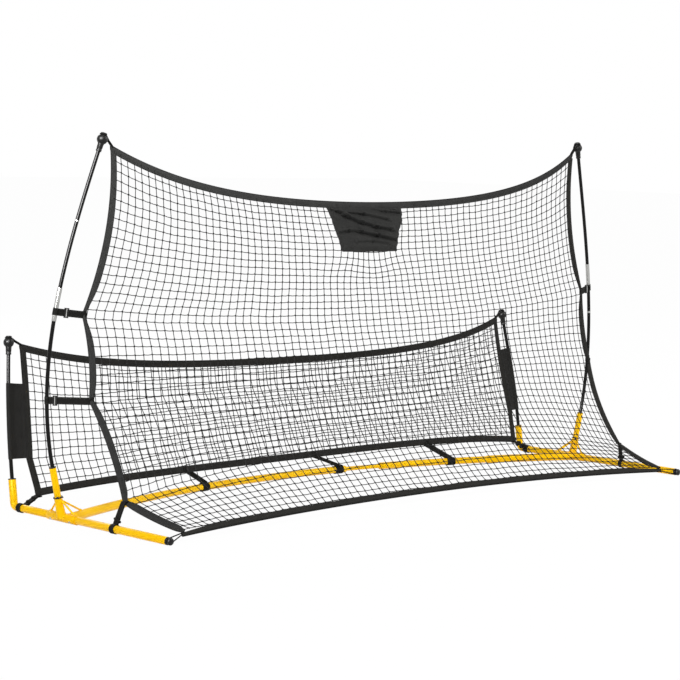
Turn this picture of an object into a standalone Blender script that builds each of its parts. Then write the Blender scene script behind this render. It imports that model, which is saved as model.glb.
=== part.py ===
"""Two-sided rebound net: a tube base, four flexed poles, a tall scoop net and a low net.

Metres, +Z up. X runs across the net, -Y is the side of the tall net's ramp, +Y the side of
the low net. The origin is on the floor, in the middle of the footprint. Sizes along Y below
are counted from the line through the two hubs.
"""
from math import asin, cos, pi, radians, sin

import bmesh
import bpy
from mathutils import Matrix, Vector

# Base: two skids joined by a bowed crossbar
SPAN = 2.16                 # between the centre lines of the skids
HALF = SPAN / 2
HUB_Y = 0.0702              # hub line behind the middle of the footprint
FRONT_REACH = 0.443         # hub line to the front arm's end
REAR_REACH = 0.229          # hub line to the foot of the rear socket
CROSSBAR_BOW = 0.225        # the crossbar's middle lies this far behind the hub line
CROSSBAR_FOOT = -0.018      # where the crossbar's line meets the skid
CROSSBAR_STEPS = 14         # straight runs that the crossbar's bow is drawn with

TUBE_D = 0.022              # arms and crossbar tubes
TUBE_WALL = 0.0012
SLEEVE_WALL = 0.0017
FIT = 0.0003                # running clearance of one piece in another
SLEEVE_FRONT = 0.060        # hub line to the sleeve's front end
SLEEVE_REAR = 0.066
ARM_GAP = 0.010             # hub line to the inner end of each arm
STUB_END_X = 0.77           # where the welded crossbar stub ends
STUB_PLUG = 0.060           # how far a crossbar tube goes into the stub
JOINT_X = 0.215             # inner end of the left crossbar tube
JOINT_GAP = 0.142           # length of thin joiner in sight
JOINER_D = 0.0135
JOINER_PLUG = 0.050

# Uprights of the tall poles
LEG_D = 0.0228
LEG_FOOT_D = 0.0285          # the leg flares towards the skid
LEG_TOP_Z = 0.070
LEG_OFFSET = 0.0075         # the leg stands this far outside the skid's centre line
LEG_SLOPE = 0.24            # sideways lean per metre of height
SOCKET_D = 0.019
SOCKET_FOOT_Z = 0.034
SOCKET_TOP_Z = 0.155
COLLAR_D = 0.026
COLLAR_H = 0.005
BRACE_D = 0.0045
BRACE_FRONT = 0.047
BRACE_REAR = 0.057
BRACE_SIDE = 0.068
BRACE_TOP = 0.86            # share of the leg's height where the braces meet it

# Poles
POLE_D = 0.011
POLE_FOOT_Z = 0.045
TALL_TIP = Vector((HALF - 0.076, -0.045, 1.056))
TALL_TIP_SLOPE = (-0.31, -0.10)
TALL_STEPS = 11
FERRULE_D = 0.0132
FERRULE_Z = (0.560, 0.650)
POLE_SPLIT_Z = 0.604
REAR_SLOPE = 0.155          # backward lean of the rear socket
REAR_SOCKET_TOP_Z = 0.088
REAR_TIP = Vector((HALF - 0.030, REAR_REACH + 0.078, 0.471))
REAR_TIP_SLOPE = (-0.13, 0.17)
REAR_STEPS = 4
ELBOW_R = 0.0135
CAP_SLEEVE = 0.035          # skirt of a tip cap below the middle of its ball
CAP_BALL_D = 0.029
CAP_GROOVE_D = 0.0125
CAP_GROOVE = (0.0110, 0.0150)    # where the groove begins and ends above the ball's middle
END_CAP_D = 0.0230          # front end caps
END_CAP_GROOVE_R = 0.0080
BUSH_LENGTH = 0.025

# Snap buttons
BUTTON_D = 0.0066
BUTTON_PROUD = 0.0022
BUTTON_FRONT = 0.040
BUTTON_REAR = 0.045
BUTTON_TILT = radians(30)   # below the horizontal, on the outer side

# Nets, each from the piece that holds it: where the right edge's outer points lie
NET_TOP = TALL_TIP + Vector((-0.027, -0.001, -0.014))
STRAP_HIGH_Z = 0.586        # where the upper straps hold the poles
STRAP_LOW_Z = 0.343
STRAP_HIGH_REACH = Vector((-0.0683, -0.0287, -0.009))
STRAP_LOW_REACH = Vector((-0.0833, -0.0790, 0))
NET_KNEE = Vector((HALF - 0.0237, -0.2285, 0.0824))
NET_FRONT = Vector((HALF - 0.0597, 0.0224 - FRONT_REACH, 0.0315))
NET_SAGS = ((-0.034, 0, 0), (-0.0112, 0, 0), (-0.016, 0.0066, 0), (0, 0, -0.005))
NET_ROWS = (4, 2, 3, 2)     # rows of gaps in each of the four stretches of the edge
NET_COLUMNS = 16
NET_MID_TOP = NET_TOP + Vector((0, -0.0544, -0.1592))
NET_MID_FRONT = NET_FRONT + Vector((0, 0.1025, 0.0084))
NET_SWAY = (-0.024, 0.010)  # how far the right half of the top and of the foot hangs back of the left
NET_BELLY = (0.060, 1.6)    # depth of the scoop, and how far down it lies: 1 is half-way
NET_SHAPE = (0.59, 0.85)    # how evenly the top and the foot curve: 1 a parabola, 0 flat in the middle
LOW_TOP = REAR_TIP + Vector((-0.0343, -0.004, -0.004))
PANEL_Z = (0.145, 0.357)    # the side panels hold the low net's edges out down to here
LOW_PANEL = Vector((HALF - 0.044, REAR_REACH + 0.0054, PANEL_Z[0]))
LOW_BOTTOM = Vector((HALF - 0.056, REAR_REACH - 0.0283, 0.0397))
LOW_SAGS = ((-0.0039, 0.0021, 0), (0, 0, 0))
LOW_ROWS = (3, 1)
LOW_COLUMNS = 20
LOW_MID_TOP = LOW_TOP + Vector((0, -0.0406, -0.0853))
LOW_MID_BOTTOM = LOW_BOTTOM + Vector((0, -0.009, 0.026))
LOW_SWAY = (-0.0185, 0.0132)
LOW_BELLY = (0.012, 1)
LOW_SHAPE = (0.38, 0)
BINDING_W = 0.021
CORNER_SHARE = 0.992        # where on the half width the corner loops are sewn
FOOT_TILT = radians(40)     # the front binding hangs from the mesh, leaning forward this much
CLOTH = 0.0024              # thickness of a binding and of the mesh strands
STRAND = 0.0030             # width of a mesh strand
SEAM = 0.0006               # clearance between sewn pieces
PATCH_TOP = 0.297
PATCH_BOTTOM = 0.216
PATCH_H = 0.130
PATCH_X = (-0.047, -0.041)  # middle of its top and of its foot
PATCH_LEVEL = 0.1           # share of the net's height at which the patch's drop is taken
PATCH_CLOTH = 0.0012

# Webbing
WEB_W = 0.020
WEB_T = 0.0010
WEB_EASE = 0.0003
WEB_SPREAD = 0.0020         # half the distance between a doubled strap's two layers
LOOP_SPREAD = 0.0011
STRAP_HIGH_REST = 0.030     # from the pole's axis to the middle of each buckle
STRAP_LOW_REST = 0.022
SKID_STRAP_Y = -0.222
REAR_STRAP_Y = REAR_REACH - 0.033
CROSSBAR_LOOPS = ((-0.363, -0.445), (0.1725, 0.048), (0.584, 0.533))    # shares of the half span
PANEL_CLOTH = 0.0010

HANG_GAP = SEAM + CLOTH / 2
FOOT_FALL = Vector((0, -sin(FOOT_TILT), -cos(FOOT_TILT))) * BINDING_W
TUBE_R = TUBE_D / 2
TUBE_BORE = TUBE_R - TUBE_WALL
SLEEVE_BORE = TUBE_R + FIT
SLEEVE_R = SLEEVE_BORE + SLEEVE_WALL
ROUND = 14                  # sides of a tube, one of them flat on the floor
POLE_ROUND = 10
SKID_Z = SLEEVE_R * cos(pi / ROUND)
POLE_R = POLE_D / 2
POLE_BORE = POLE_R + FIT
SOCKET_R = SOCKET_D / 2
SOCKET_BORE = SOCKET_R - TUBE_WALL
LEG_BORE = SOCKET_R + FIT

X, Y, Z = Vector((1, 0, 0)), Vector((0, 1, 0)), Vector((0, 0, 1))
SIDES = (("left", -1), ("right", 1))

for old in list(bpy.data.objects):
    bpy.data.objects.remove(old, do_unlink=True)

hub_line = bpy.data.objects.new("hub_line", None)
hub_line.location = (0, HUB_Y, 0)
bpy.context.scene.collection.objects.link(hub_line)


def finish(name, colour, roughness, metallic=0.0):
    material = bpy.data.materials.new(name)
    material.use_nodes = True
    shader = material.node_tree.nodes["Principled BSDF"]
    shader.inputs["Base Color"].default_value = (*colour, 1)
    shader.inputs["Roughness"].default_value = roughness
    shader.inputs["Metallic"].default_value = metallic
    material.diffuse_color = (*colour, 1)
    return material


YELLOW = finish("yellow_paint", (1.0, 0.52, 0.01), 0.35)
BLACK_ROD = finish("black_fibreglass", (0.012, 0.012, 0.012), 0.3)
STEEL = finish("bright_steel", (0.55, 0.55, 0.55), 0.3, 1.0)
BLACK_PLASTIC = finish("black_plastic", (0.015, 0.015, 0.015), 0.45)
WEBBING = finish("black_webbing", (0.02, 0.02, 0.018), 0.8)
BINDING = finish("charcoal_binding", (0.035, 0.035, 0.03), 0.75)
TWINE = finish("black_twine", (0.015, 0.015, 0.015), 0.8)
FABRIC = finish("black_fabric", (0.025, 0.025, 0.022), 0.85)


def add_object(name, bm, material):
    """Turn bmesh geometry in the hub line's frame into a named object."""
    bmesh.ops.recalc_face_normals(bm, faces=bm.faces)
    mesh = bpy.data.meshes.new(name)
    bm.to_mesh(mesh)
    bm.free()
    mesh.shade_smooth()
    mesh.set_sharp_from_angle(angle=radians(35))
    mesh.materials.append(material)
    obj = bpy.data.objects.new(name, mesh)
    obj.parent = hub_line
    bpy.context.scene.collection.objects.link(obj)
    return obj


def loft(name, rings, material, closed=False):
    """Skin a list of rings of points: capped at both ends, or joined end to end."""
    bm = bmesh.new()
    loops = [[bm.verts.new(p) for p in ring] for ring in rings]
    pairs = list(zip(loops, loops[1:]))
    if closed:
        pairs.append((loops[-1], loops[0]))
    for a, b in pairs:
        for i in range(len(a)):
            j = (i + 1) % len(a)
            bm.faces.new((a[i], a[j], b[j], b[i]))
    if not closed:
        bm.faces.new(loops[0])
        bm.faces.new(loops[-1])
    return add_object(name, bm, material)


def frames(path, up):
    """Place, and two directions across the path, at each of its points."""
    runs = [(b - a).normalized() for a, b in zip(path, path[1:])]
    found = []
    across = up
    for i, point in enumerate(path):
        tangent = (runs[max(i - 1, 0)] + runs[min(i, len(runs) - 1)]).normalized()
        across = (across - tangent * across.dot(tangent)).normalized()
        found.append((point, across, tangent.cross(across)))
    return found


def ring(frame, radius, sides):
    """A ring with a flat, not a corner, towards the frame's first direction."""
    point, a, b = frame
    turns = [2 * pi * (i + 0.5) / sides for i in range(sides)]
    return [point + radius * (cos(t) * a + sin(t) * b) for t in turns]


def rod(name, path, radius, material, up=Z, sides=ROUND):
    return loft(name, [ring(f, radius, sides) for f in frames(path, up)], material)


def tube(name, path, outer, inner, material, up=Z, sides=ROUND):
    placed = frames(path, up)
    rings = [ring(f, outer, sides) for f in placed]
    rings += [ring(f, inner, sides) for f in reversed(placed)]
    return loft(name, rings, material, closed=True)


def turned(name, foot, axis, profile, material, up=Y, closed=False, sides=ROUND):
    """Revolve (distance along the axis, radius) pairs about the axis through the foot."""
    axis = axis.normalized()
    across = (up - axis * up.dot(axis)).normalized()
    other = axis.cross(across)
    rings = [ring((foot + axis * s, across, other), r, sides) for s, r in profile]
    return loft(name, rings, material, closed)


def sheet(name, rows, thickness, material, gaps=False):
    """Cloth through rows of points. With gaps, every second cell both ways is left open."""
    bm = bmesh.new()
    grid = [[bm.verts.new(p) for p in row] for row in rows]
    for r in range(len(grid) - 1):
        for c in range(len(grid[0]) - 1):
            if not (gaps and r % 2 and c % 2):
                bm.faces.new((grid[r][c], grid[r][c + 1], grid[r + 1][c + 1], grid[r + 1][c]))
    obj = add_object(name, bm, material)
    wall = obj.modifiers.new("cloth", "SOLIDIFY")
    wall.thickness = thickness
    wall.offset = 0
    return obj


def combine(target, tool, operation):
    """Boolean with a helper object that is itself left out of the model."""
    step = target.modifiers.new(tool.name, "BOOLEAN")
    step.operation = operation
    step.solver = "EXACT"
    step.object = tool
    tool.hide_render = True
    tool.display_type = "WIRE"


def mixed(a, b, share):
    return a + (b - a) * share


def mirrored(point, side):
    """A point of the right half, on the side asked for."""
    return Vector((side * point.x, point.y, point.z))


# The crossbar's line and what lies on it

def crossbar_point(x):
    return Vector((x, CROSSBAR_BOW + (CROSSBAR_FOOT - CROSSBAR_BOW) * (x / HALF) ** 2, SKID_Z))


CROSSBAR = [crossbar_point(HALF * (2 * i / CROSSBAR_STEPS - 1)) for i in range(CROSSBAR_STEPS + 1)]


def on_crossbar(x):
    """Point and direction on the straight runs of the crossbar's line."""
    for a, b in zip(CROSSBAR, CROSSBAR[1:]):
        if x <= b.x or b is CROSSBAR[-1]:
            return mixed(a, b, (x - a.x) / (b.x - a.x)), (b - a).normalized()


def crossbar_run(x_from, x_to):
    inner = [p for p in CROSSBAR if x_from + 0.001 < p.x < x_to - 0.001]
    return [on_crossbar(x_from)[0], *inner, on_crossbar(x_to)[0]]


# Poles: straight in the socket, then a flexed curve to the tip

class Pole:
    def __init__(self, foot, slope, mouth_z, tip, tip_slope, steps):
        start = foot + slope * (mouth_z - foot.z)
        rise = tip.z - mouth_z
        leave, arrive = slope * rise, tip_slope * rise
        self.points = [foot]
        for i in range(steps + 1):
            t = i / steps
            self.points.append(start * (2 * t ** 3 - 3 * t ** 2 + 1) + leave * (t ** 3 - 2 * t ** 2 + t)
                               + tip * (3 * t ** 2 - 2 * t ** 3) + arrive * (t ** 3 - t ** 2))
        self.tip = self.points[-1]
        self.tip_axis = (self.points[-1] - self.points[-2]).normalized()

    def at(self, z):
        """Point and direction on the pole's straight runs at a height."""
        for a, b in zip(self.points, self.points[1:]):
            if z <= b.z or b is self.points[-1]:
                return mixed(a, b, (z - a.z) / (b.z - a.z)), (b - a).normalized()

    def run(self, z_from, z_to):
        inner = [p for p in self.points if z_from + 0.001 < p.z < z_to - 0.001]
        return [self.at(z_from)[0], *inner, self.at(z_to)[0]]


def tall_pole(side):
    foot = Vector((side * (HALF + LEG_OFFSET), 0, SKID_Z))
    tip = mirrored(TALL_TIP, side)
    tip_slope = Vector((side * TALL_TIP_SLOPE[0], TALL_TIP_SLOPE[1], 1))
    return Pole(foot, Vector((side * LEG_SLOPE, 0, 1)), SOCKET_TOP_Z, tip, tip_slope, TALL_STEPS)


def rear_pole(side):
    foot = Vector((side * HALF, REAR_REACH, SKID_Z))
    tip = mirrored(REAR_TIP, side)
    tip_slope = Vector((side * REAR_TIP_SLOPE[0], REAR_TIP_SLOPE[1], 1))
    return Pole(foot, Vector((0, REAR_SLOPE, 1)), REAR_SOCKET_TOP_Z, tip, tip_slope, REAR_STEPS)


# Tube base

def skid_point(side, y):
    return Vector((side * HALF, y, SKID_Z))


def button_axis(side):
    return Vector((side * cos(BUTTON_TILT), 0, -sin(BUTTON_TILT)))


def button_hole(name, side, y):
    centre = skid_point(side, y)
    return rod("cut_" + name, [centre, centre + button_axis(side) * 2 * SLEEVE_R],
               BUTTON_D / 2 + FIT, STEEL, up=Y, sides=10)


def snap_button(name, side, y):
    flange = 0.0083
    stem = BUTTON_D / 2
    top = SLEEVE_R + BUTTON_PROUD
    profile = [(flange - 0.0013, 0.0045), (flange, 0.0045), (flange, stem),
               (top - 0.0012, stem), (top - 0.0003, stem * 0.8), (top, stem * 0.4)]
    return turned(name, skid_point(side, y), button_axis(side), profile, STEEL, sides=10)


def hub(label, side, pole, holes):
    """Sleeve, leg, three braces and crossbar stub, welded into one piece."""
    sleeve = rod(label + "_hub", [skid_point(side, -SLEEVE_FRONT), skid_point(side, SLEEVE_REAR)],
                 SLEEVE_R, YELLOW)
    ends = sorted((side * (HALF - 0.004), side * STUB_END_X))
    stub_r = SLEEVE_R - 0.0002
    combine(sleeve, rod(f"{label}_stub", crossbar_run(*ends), stub_r, YELLOW), "UNION")
    leg_path = [pole.points[0], pole.at(LEG_TOP_Z)[0]]
    leg_frames = frames([leg_path[0], mixed(*leg_path, 0.6), leg_path[1]], Y)
    leg_rings = [ring(f, d / 2, ROUND) for f, d in zip(leg_frames, (LEG_FOOT_D, LEG_D, LEG_D))]
    combine(sleeve, loft(f"{label}_leg", leg_rings, YELLOW), "UNION")

    head = mixed(*leg_path, BRACE_TOP)
    wall_top = SLEEVE_R - SLEEVE_WALL / 2
    side_foot = on_crossbar(side * (HALF - BRACE_SIDE))[0]
    feet = {"front": skid_point(side, -BRACE_FRONT), "rear": skid_point(side, BRACE_REAR),
            "side": side_foot}
    for place, foot in feet.items():
        run = foot + Z * wall_top - head
        start = head + Vector((run.x, run.y, 0)).normalized() * (LEG_BORE + 0.0005)
        brace = rod(f"{label}_{place}_brace", [start, foot + Z * wall_top], BRACE_D / 2, YELLOW,
                    up=X, sides=8)
        combine(sleeve, brace, "UNION")

    past = 0.01
    bore = rod(f"cut_{label}_sleeve", [skid_point(side, -SLEEVE_FRONT - past),
                                       skid_point(side, SLEEVE_REAR + past)], SLEEVE_BORE, YELLOW)
    combine(sleeve, bore, "DIFFERENCE")
    ends = sorted((side * (STUB_END_X + STUB_PLUG + 0.001), side * (STUB_END_X - past)))
    combine(sleeve, rod(f"cut_{label}_stub", crossbar_run(*ends), SLEEVE_BORE, YELLOW), "DIFFERENCE")
    leg_bore = [pole.at(SOCKET_FOOT_Z - FIT)[0], pole.at(LEG_TOP_Z + past)[0]]
    combine(sleeve, rod(f"cut_{label}_leg", leg_bore, LEG_BORE, YELLOW, up=Y), "DIFFERENCE")
    for hole in holes:
        combine(sleeve, hole, "DIFFERENCE")


def front_arm(label, side, hole):
    path = [skid_point(side, -ARM_GAP), skid_point(side, -FRONT_REACH)]
    arm = tube(label + "_front_arm", path, TUBE_R, TUBE_BORE, YELLOW)
    combine(arm, hole, "DIFFERENCE")
    plug = TUBE_BORE - FIT
    shell = END_CAP_D / 2
    groove = END_CAP_GROOVE_R
    profile = [(-0.018, plug - 0.001), (-0.016, plug), (FIT, plug), (FIT, TUBE_R), (0.002, shell),
               (0.0045, shell), (0.0055, groove), (0.0095, groove), (0.0105, shell),
               (0.0145, shell), (0.0172, 0.0090), (0.0182, 0.0045)]
    turned(label + "_front_cap", path[-1], -Y, profile, BLACK_PLASTIC, up=Z)


def rear_arm(label, side, pole, hole):
    """Plug-in arm bent up into the rear socket."""
    corner, up = pole.points[0], (pole.points[1] - pole.points[0]).normalized()
    turn = Y.angle(up)
    setback = ELBOW_R * sin(turn / 2) / cos(turn / 2)
    centre = corner - Y * setback + Z * ELBOW_R
    steps = 4
    bend = [centre + Vector((0, sin(turn * i / steps), -cos(turn * i / steps))) * ELBOW_R
            for i in range(steps + 1)]
    path = [skid_point(side, ARM_GAP), *bend, pole.at(REAR_SOCKET_TOP_Z)[0]]
    arm = tube(label + "_rear_arm", path, TUBE_R, TUBE_BORE, YELLOW)
    combine(arm, hole, "DIFFERENCE")


def bushing(name, mouth, axis, bore_outside, flange):
    plug = bore_outside - FIT
    profile = [(-BUSH_LENGTH, plug), (FIT, plug), (FIT, flange), (0.0030, flange - 0.0005),
               (0.0030, POLE_BORE), (-BUSH_LENGTH, POLE_BORE)]
    turned(name, mouth, axis, profile, BLACK_PLASTIC, closed=True)


def tip_cap(name, pole):
    """Ball-shaped cap with a pocket for the pole and a groove for the net's corner loop."""
    ball, groove = CAP_BALL_D / 2, CAP_GROOVE_D / 2
    low, high = CAP_GROOVE
    profile = [(0.0045, POLE_BORE), (-CAP_SLEEVE, POLE_BORE), (-CAP_SLEEVE, 0.0078),
               (-0.0135, 0.0085), (-0.0075, ball * 0.87), (0, ball), (0.0075, ball * 0.87),
               (low - 0.0010, groove + 0.0028), (low, groove), (high, groove), (high + 0.0005, 0.0088),
               (high + 0.0025, 0.0088), (high + 0.0037, 0.0068)]
    turned(name, pole.tip, pole.tip_axis, profile, BLACK_PLASTIC, sides=12)


def crossbar():
    left_ends = (-STUB_END_X - STUB_PLUG, JOINT_X)
    right_ends = (JOINT_X + JOINT_GAP, STUB_END_X + STUB_PLUG)
    tube("left_crossbar_tube", crossbar_run(*left_ends), TUBE_R, TUBE_BORE, YELLOW)
    tube("right_crossbar_tube", crossbar_run(*right_ends), TUBE_R, TUBE_BORE, YELLOW)
    plug, neck = TUBE_BORE - FIT, JOINER_D / 2
    taper = 0.004
    path = crossbar_run(JOINT_X - JOINER_PLUG, JOINT_X + JOINT_GAP + JOINER_PLUG)
    shoulders = [on_crossbar(x)[0] for x in (JOINT_X - FIT, JOINT_X + taper,
                                             JOINT_X + JOINT_GAP - taper, JOINT_X + JOINT_GAP + FIT)]
    path = sorted([*path, *shoulders], key=lambda p: p.x)
    rings = []
    for frame in frames(path, Z):
        thin = shoulders[1].x - FIT <= frame[0].x <= shoulders[2].x + FIT
        rings.append(ring(frame, neck if thin else plug, ROUND))
    loft("crossbar_joiner", rings, YELLOW)


def tall_upright(label, pole):
    """Socket, collar, bushing, two rods, ferrule and tip cap of a tall pole."""
    top, axis = pole.at(SOCKET_TOP_Z)[0], (pole.points[1] - pole.points[0]).normalized()
    tube(label + "_socket", pole.run(SOCKET_FOOT_Z, SOCKET_TOP_Z), SOCKET_R, SOCKET_BORE, YELLOW, up=Y)
    collar_foot = pole.at(LEG_TOP_Z)[0] + axis * FIT
    tube(label + "_collar", [collar_foot, collar_foot + axis * COLLAR_H], COLLAR_D / 2, LEG_BORE,
         BLACK_PLASTIC, up=Y)
    bushing(label + "_bushing", top, axis, SOCKET_BORE, SOCKET_R + 0.0005)
    rod(label + "_lower_pole", pole.run(POLE_FOOT_Z, POLE_SPLIT_Z), POLE_R, BLACK_ROD, up=Y, sides=POLE_ROUND)
    tube(label + "_ferrule", pole.run(*FERRULE_Z), FERRULE_D / 2, POLE_BORE, STEEL, up=Y, sides=POLE_ROUND)
    upper = pole.run(POLE_SPLIT_Z + FIT, pole.tip.z)[:-1] + [pole.tip + pole.tip_axis * 0.004]
    rod(label + "_upper_pole", upper, POLE_R, BLACK_ROD, up=Y, sides=POLE_ROUND)
    tip_cap(label + "_tip_cap", pole)


def rear_upright(label, pole):
    top, axis = pole.at(REAR_SOCKET_TOP_Z)[0], (pole.points[1] - pole.points[0]).normalized()
    bushing(label + "_rear_bushing", top, axis, TUBE_BORE, TUBE_R + 0.0005)
    path = pole.run(POLE_FOOT_Z, pole.tip.z)[:-1] + [pole.tip + pole.tip_axis * 0.004]
    rod(label + "_rear_pole", path, POLE_R, BLACK_ROD, up=Y, sides=POLE_ROUND)
    tip_cap(label + "_rear_tip_cap", pole)


# Nets: each is a surface over (u, v), u from -1 to 1 across it and v from 0 at its top to 1

def stretches(corners, sags):
    """The net's right edge as sagging stretches between the points that hold it."""
    lengths = [(b - a).length for a, b in zip(corners, corners[1:])]
    marks = [sum(lengths[:i]) / sum(lengths) for i in range(len(corners))]

    def edge(v):
        i = max(k for k in range(len(lengths)) if v >= marks[k] or k == 0)
        t = (v - marks[i]) / (marks[i + 1] - marks[i])
        return mixed(corners[i], corners[i + 1], t) + Vector(sags[i]) * 4 * t * (1 - t)

    return edge, marks


NET_STRAP_HIGH = tall_pole(1).at(STRAP_HIGH_Z)[0] + STRAP_HIGH_REACH
NET_STRAP_LOW = tall_pole(1).at(STRAP_LOW_Z)[0] + STRAP_LOW_REACH
tall_edge, TALL_MARKS = stretches((NET_TOP, NET_STRAP_HIGH, NET_STRAP_LOW, NET_KNEE, NET_FRONT), NET_SAGS)
low_edge, LOW_MARKS = stretches((LOW_TOP, LOW_PANEL, LOW_BOTTOM), LOW_SAGS)


def net_point(edge, middle, trend, shape, sway, u, v):
    """Blend the middle line out to the scalloped edge; only the outer part follows its scallops."""
    side = edge(v)
    plain = trend[0] + (trend[1] - trend[0]) * v
    flat = shape[0] + (shape[1] - shape[0]) * v
    out = flat * u ** 2 + (1 - flat) * u ** 4
    y, z = middle(v)
    aside = (sway[0] + (sway[1] - sway[0]) * v) * 2.6 * u * (1 - u ** 2)
    return Vector((u * (plain + (side.x - plain) * u ** 4), y + (side.y - y) * out + aside,
                   z + (side.z - z) * out))


def middle_line(top, bottom, belly):
    def middle(v):
        depth = belly[0] * sin(pi * v ** belly[1])
        return mixed(top.y, bottom.y, v) + depth, mixed(top.z, bottom.z, v)
    return middle


def tall_net(u, v):
    middle = middle_line(NET_MID_TOP, NET_MID_FRONT, NET_BELLY)
    return net_point(tall_edge, middle, (NET_TOP.x, NET_FRONT.x), NET_SHAPE, NET_SWAY, u, v)


def low_net(u, v):
    middle = middle_line(LOW_MID_TOP, LOW_MID_BOTTOM, LOW_BELLY)
    return net_point(low_edge, middle, (LOW_TOP.x, LOW_BOTTOM.x), LOW_SHAPE, LOW_SWAY, u, v)


def across(net, u, v):
    """The cloth's direction and stretch per unit of u."""
    return (net(u + 0.001, v) - net(u - 0.001, v)) / 0.002


def down(net, u, v):
    return (net(u, v + 0.001) - net(u, v - 0.001)) / 0.002


def inset(net, s, t, side_margin, top_margin, foot_margin):
    """(u, v) at the shares s and t of the cloth that is left inside the margins."""
    u = (2 * s - 1) * (1 - side_margin / across(net, 1, t).length)
    first = top_margin / down(net, u, 0.001).length
    last = 1 - foot_margin / down(net, u, 0.999).length
    return u, first + (last - first) * t


def row_shares(marks, rows):
    """Even rows within each stretch, so that a row ends at each strap."""
    shares = [0.0]
    for a, b, count in zip(marks, marks[1:], rows):
        shares += [a + (b - a) * (i + 1) / count for i in range(count)]
    return shares


def lattice(net, columns, shares, foot=BINDING_W + SEAM):
    """(u, v) of the four corners of every node of the mesh: two rows and two columns to a node."""
    half = STRAND / 2
    margin = BINDING_W + SEAM + half
    rows = []
    for t in shares:
        upper, lower = [], []
        for i in range(columns + 1):
            u, v = inset(net, i / columns, t, margin, margin, foot + half)
            du = half / across(net, u, v).length
            dv = half / down(net, u, v).length
            upper += [(u - du, v - dv), (u + du, v - dv)]
            lower += [(u - du, v + dv), (u + du, v + dv)]
        rows += [upper, lower]
    return rows


def mesh_net(name, net, grid):
    return sheet(name, [[net(u, v) for u, v in row] for row in grid], CLOTH, TWINE, gaps=True)


def nodes(line):
    """Middles of the nodes from a line of their corners."""
    return [((a[0] + b[0]) / 2, (a[1] + b[1]) / 2) for a, b in zip(line[::2], line[1::2])]


def end_line(net, grid, end, gap=SEAM):
    """(u, v) along a net's top (end 0) or foot (end 1), a gap away from its mesh."""
    row = grid[-end]
    row = [(-1, row[0][1]), *nodes(row), (1, row[-1][1])]
    return [(u, v + (2 * end - 1) * gap / down(net, u, v).length) for u, v in row]


def end_binding(name, net, grid, end):
    """Binding across the whole top or foot of a net."""
    line = end_line(net, grid, end)
    return sheet(name, [[net(u, end) for u, v in line], [net(u, v) for u, v in line]], CLOTH, BINDING)


def hanging_binding(name, net, grid):
    """Binding that hangs below the foot of a net."""
    inner = [net(u, v) for u, v in end_line(net, grid, 1, HANG_GAP)]
    outer = [point + FOOT_FALL for point in inner]
    return sheet(name, [outer, inner], CLOTH, BINDING)


def side_binding(name, net, grid, side):
    """Binding down one side, between the end bindings. Half-way points curve its outer edge."""
    line = [row[0 if side < 0 else -1] for row in grid]
    inner, outer = [], []
    for i, (u, v) in enumerate(line):
        inner.append(net(u + side * SEAM / across(net, u, v).length, v))
        outer.append(net(side, v))
        if i % 2 and i + 1 < len(line):
            u, ahead = line[i + 1]
            end = net(u + side * SEAM / across(net, u, ahead).length, ahead)
            inner.append((inner[-1] + end) / 2)
            outer.append(net(side, (v + ahead) / 2))
    return sheet(name, [outer, inner], CLOTH, BINDING)


# Webbing: straps doubled round a pole or tube

def doubled(centre, axis, target, radius, spread, straight):
    """One row of a strap round the axis and back: square to it at first, then to the target."""
    reach = target - centre
    drift = reach.dot(axis)
    out = reach - axis * drift
    length = out.length
    out = out / length
    side = axis.cross(out)
    steps = 12
    start = asin(spread / radius)
    bend = (2 * pi - 2 * start) / steps
    turns = [start + bend * i for i in range(steps + 1)]
    radius = radius / cos(bend / 2)
    flat = [(length, spread), (straight, spread), *[(radius * cos(t), radius * sin(t)) for t in turns],
            (straight, -spread), (length, -spread)]
    return [centre + out * x + side * y + axis * (drift * max(x - straight, 0) / (length - straight))
            for x, y in flat]


def leaves_at(inside):
    """Where a strap round a piece of this radius has cleared it and may slant."""
    return 1.2 * (inside + WEB_EASE + WEB_T / 2)


def strap(name, centre, axis, target, inside, width, spread, short=SEAM, straight=0, material=WEBBING):
    """Doubled strap of a width round a round piece, ending short of its target."""
    radius = inside + WEB_EASE + WEB_T / 2
    end = target - (target - centre).normalized() * short
    rows = [doubled(centre + axis * w, axis, end + axis * w, radius, spread, straight or leaves_at(inside))
            for w in (-width / 2, width / 2)]
    return sheet(name, rows, WEB_T, material)


def glide_mesh():
    """Tri-glide: two rails, a bar between the strap's layers and a bar in front at each end."""
    long, rail = 0.0125, 0.0032
    slot = WEB_W / 2 + 0.0005
    clear = WEB_T / 2 + 0.0004
    bar = WEB_SPREAD - clear
    front = WEB_SPREAD + clear
    face = front + 0.0018
    high = slot + rail

    def block(name, low, top):
        bm = bmesh.new()
        size = Vector(top) - Vector(low)
        place = Matrix.Translation((Vector(top) + Vector(low)) / 2) @ Matrix.Diagonal((*size, 1))
        bmesh.ops.create_cube(bm, size=1, matrix=place)
        return add_object(name, bm, BLACK_PLASTIC)

    body = block("glide_pattern", (-long / 2, -bar, -high), (long / 2, face, high))
    past = 0.002
    cuts = (((-long, bar, -slot), (long, front, slot)),
            ((-long / 2 + 0.0025, front - 0.0001, -slot), (long / 2 - 0.0025, face + past, slot)),
            ((-long, -bar - past, -slot), (-0.002, bar + 0.0001, slot)),
            ((0.002, -bar - past, -slot), (long, bar + 0.0001, slot)))
    for i, (low, top) in enumerate(cuts):
        combine(body, block(f"cut_glide_{i}", low, top), "DIFFERENCE")
    bpy.context.view_layer.update()
    pattern = body.evaluated_get(bpy.context.evaluated_depsgraph_get())
    mesh = bpy.data.meshes.new_from_object(pattern)
    for helper in [body] + [step.object for step in body.modifiers]:
        bpy.data.objects.remove(helper, do_unlink=True)
    return mesh


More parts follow.
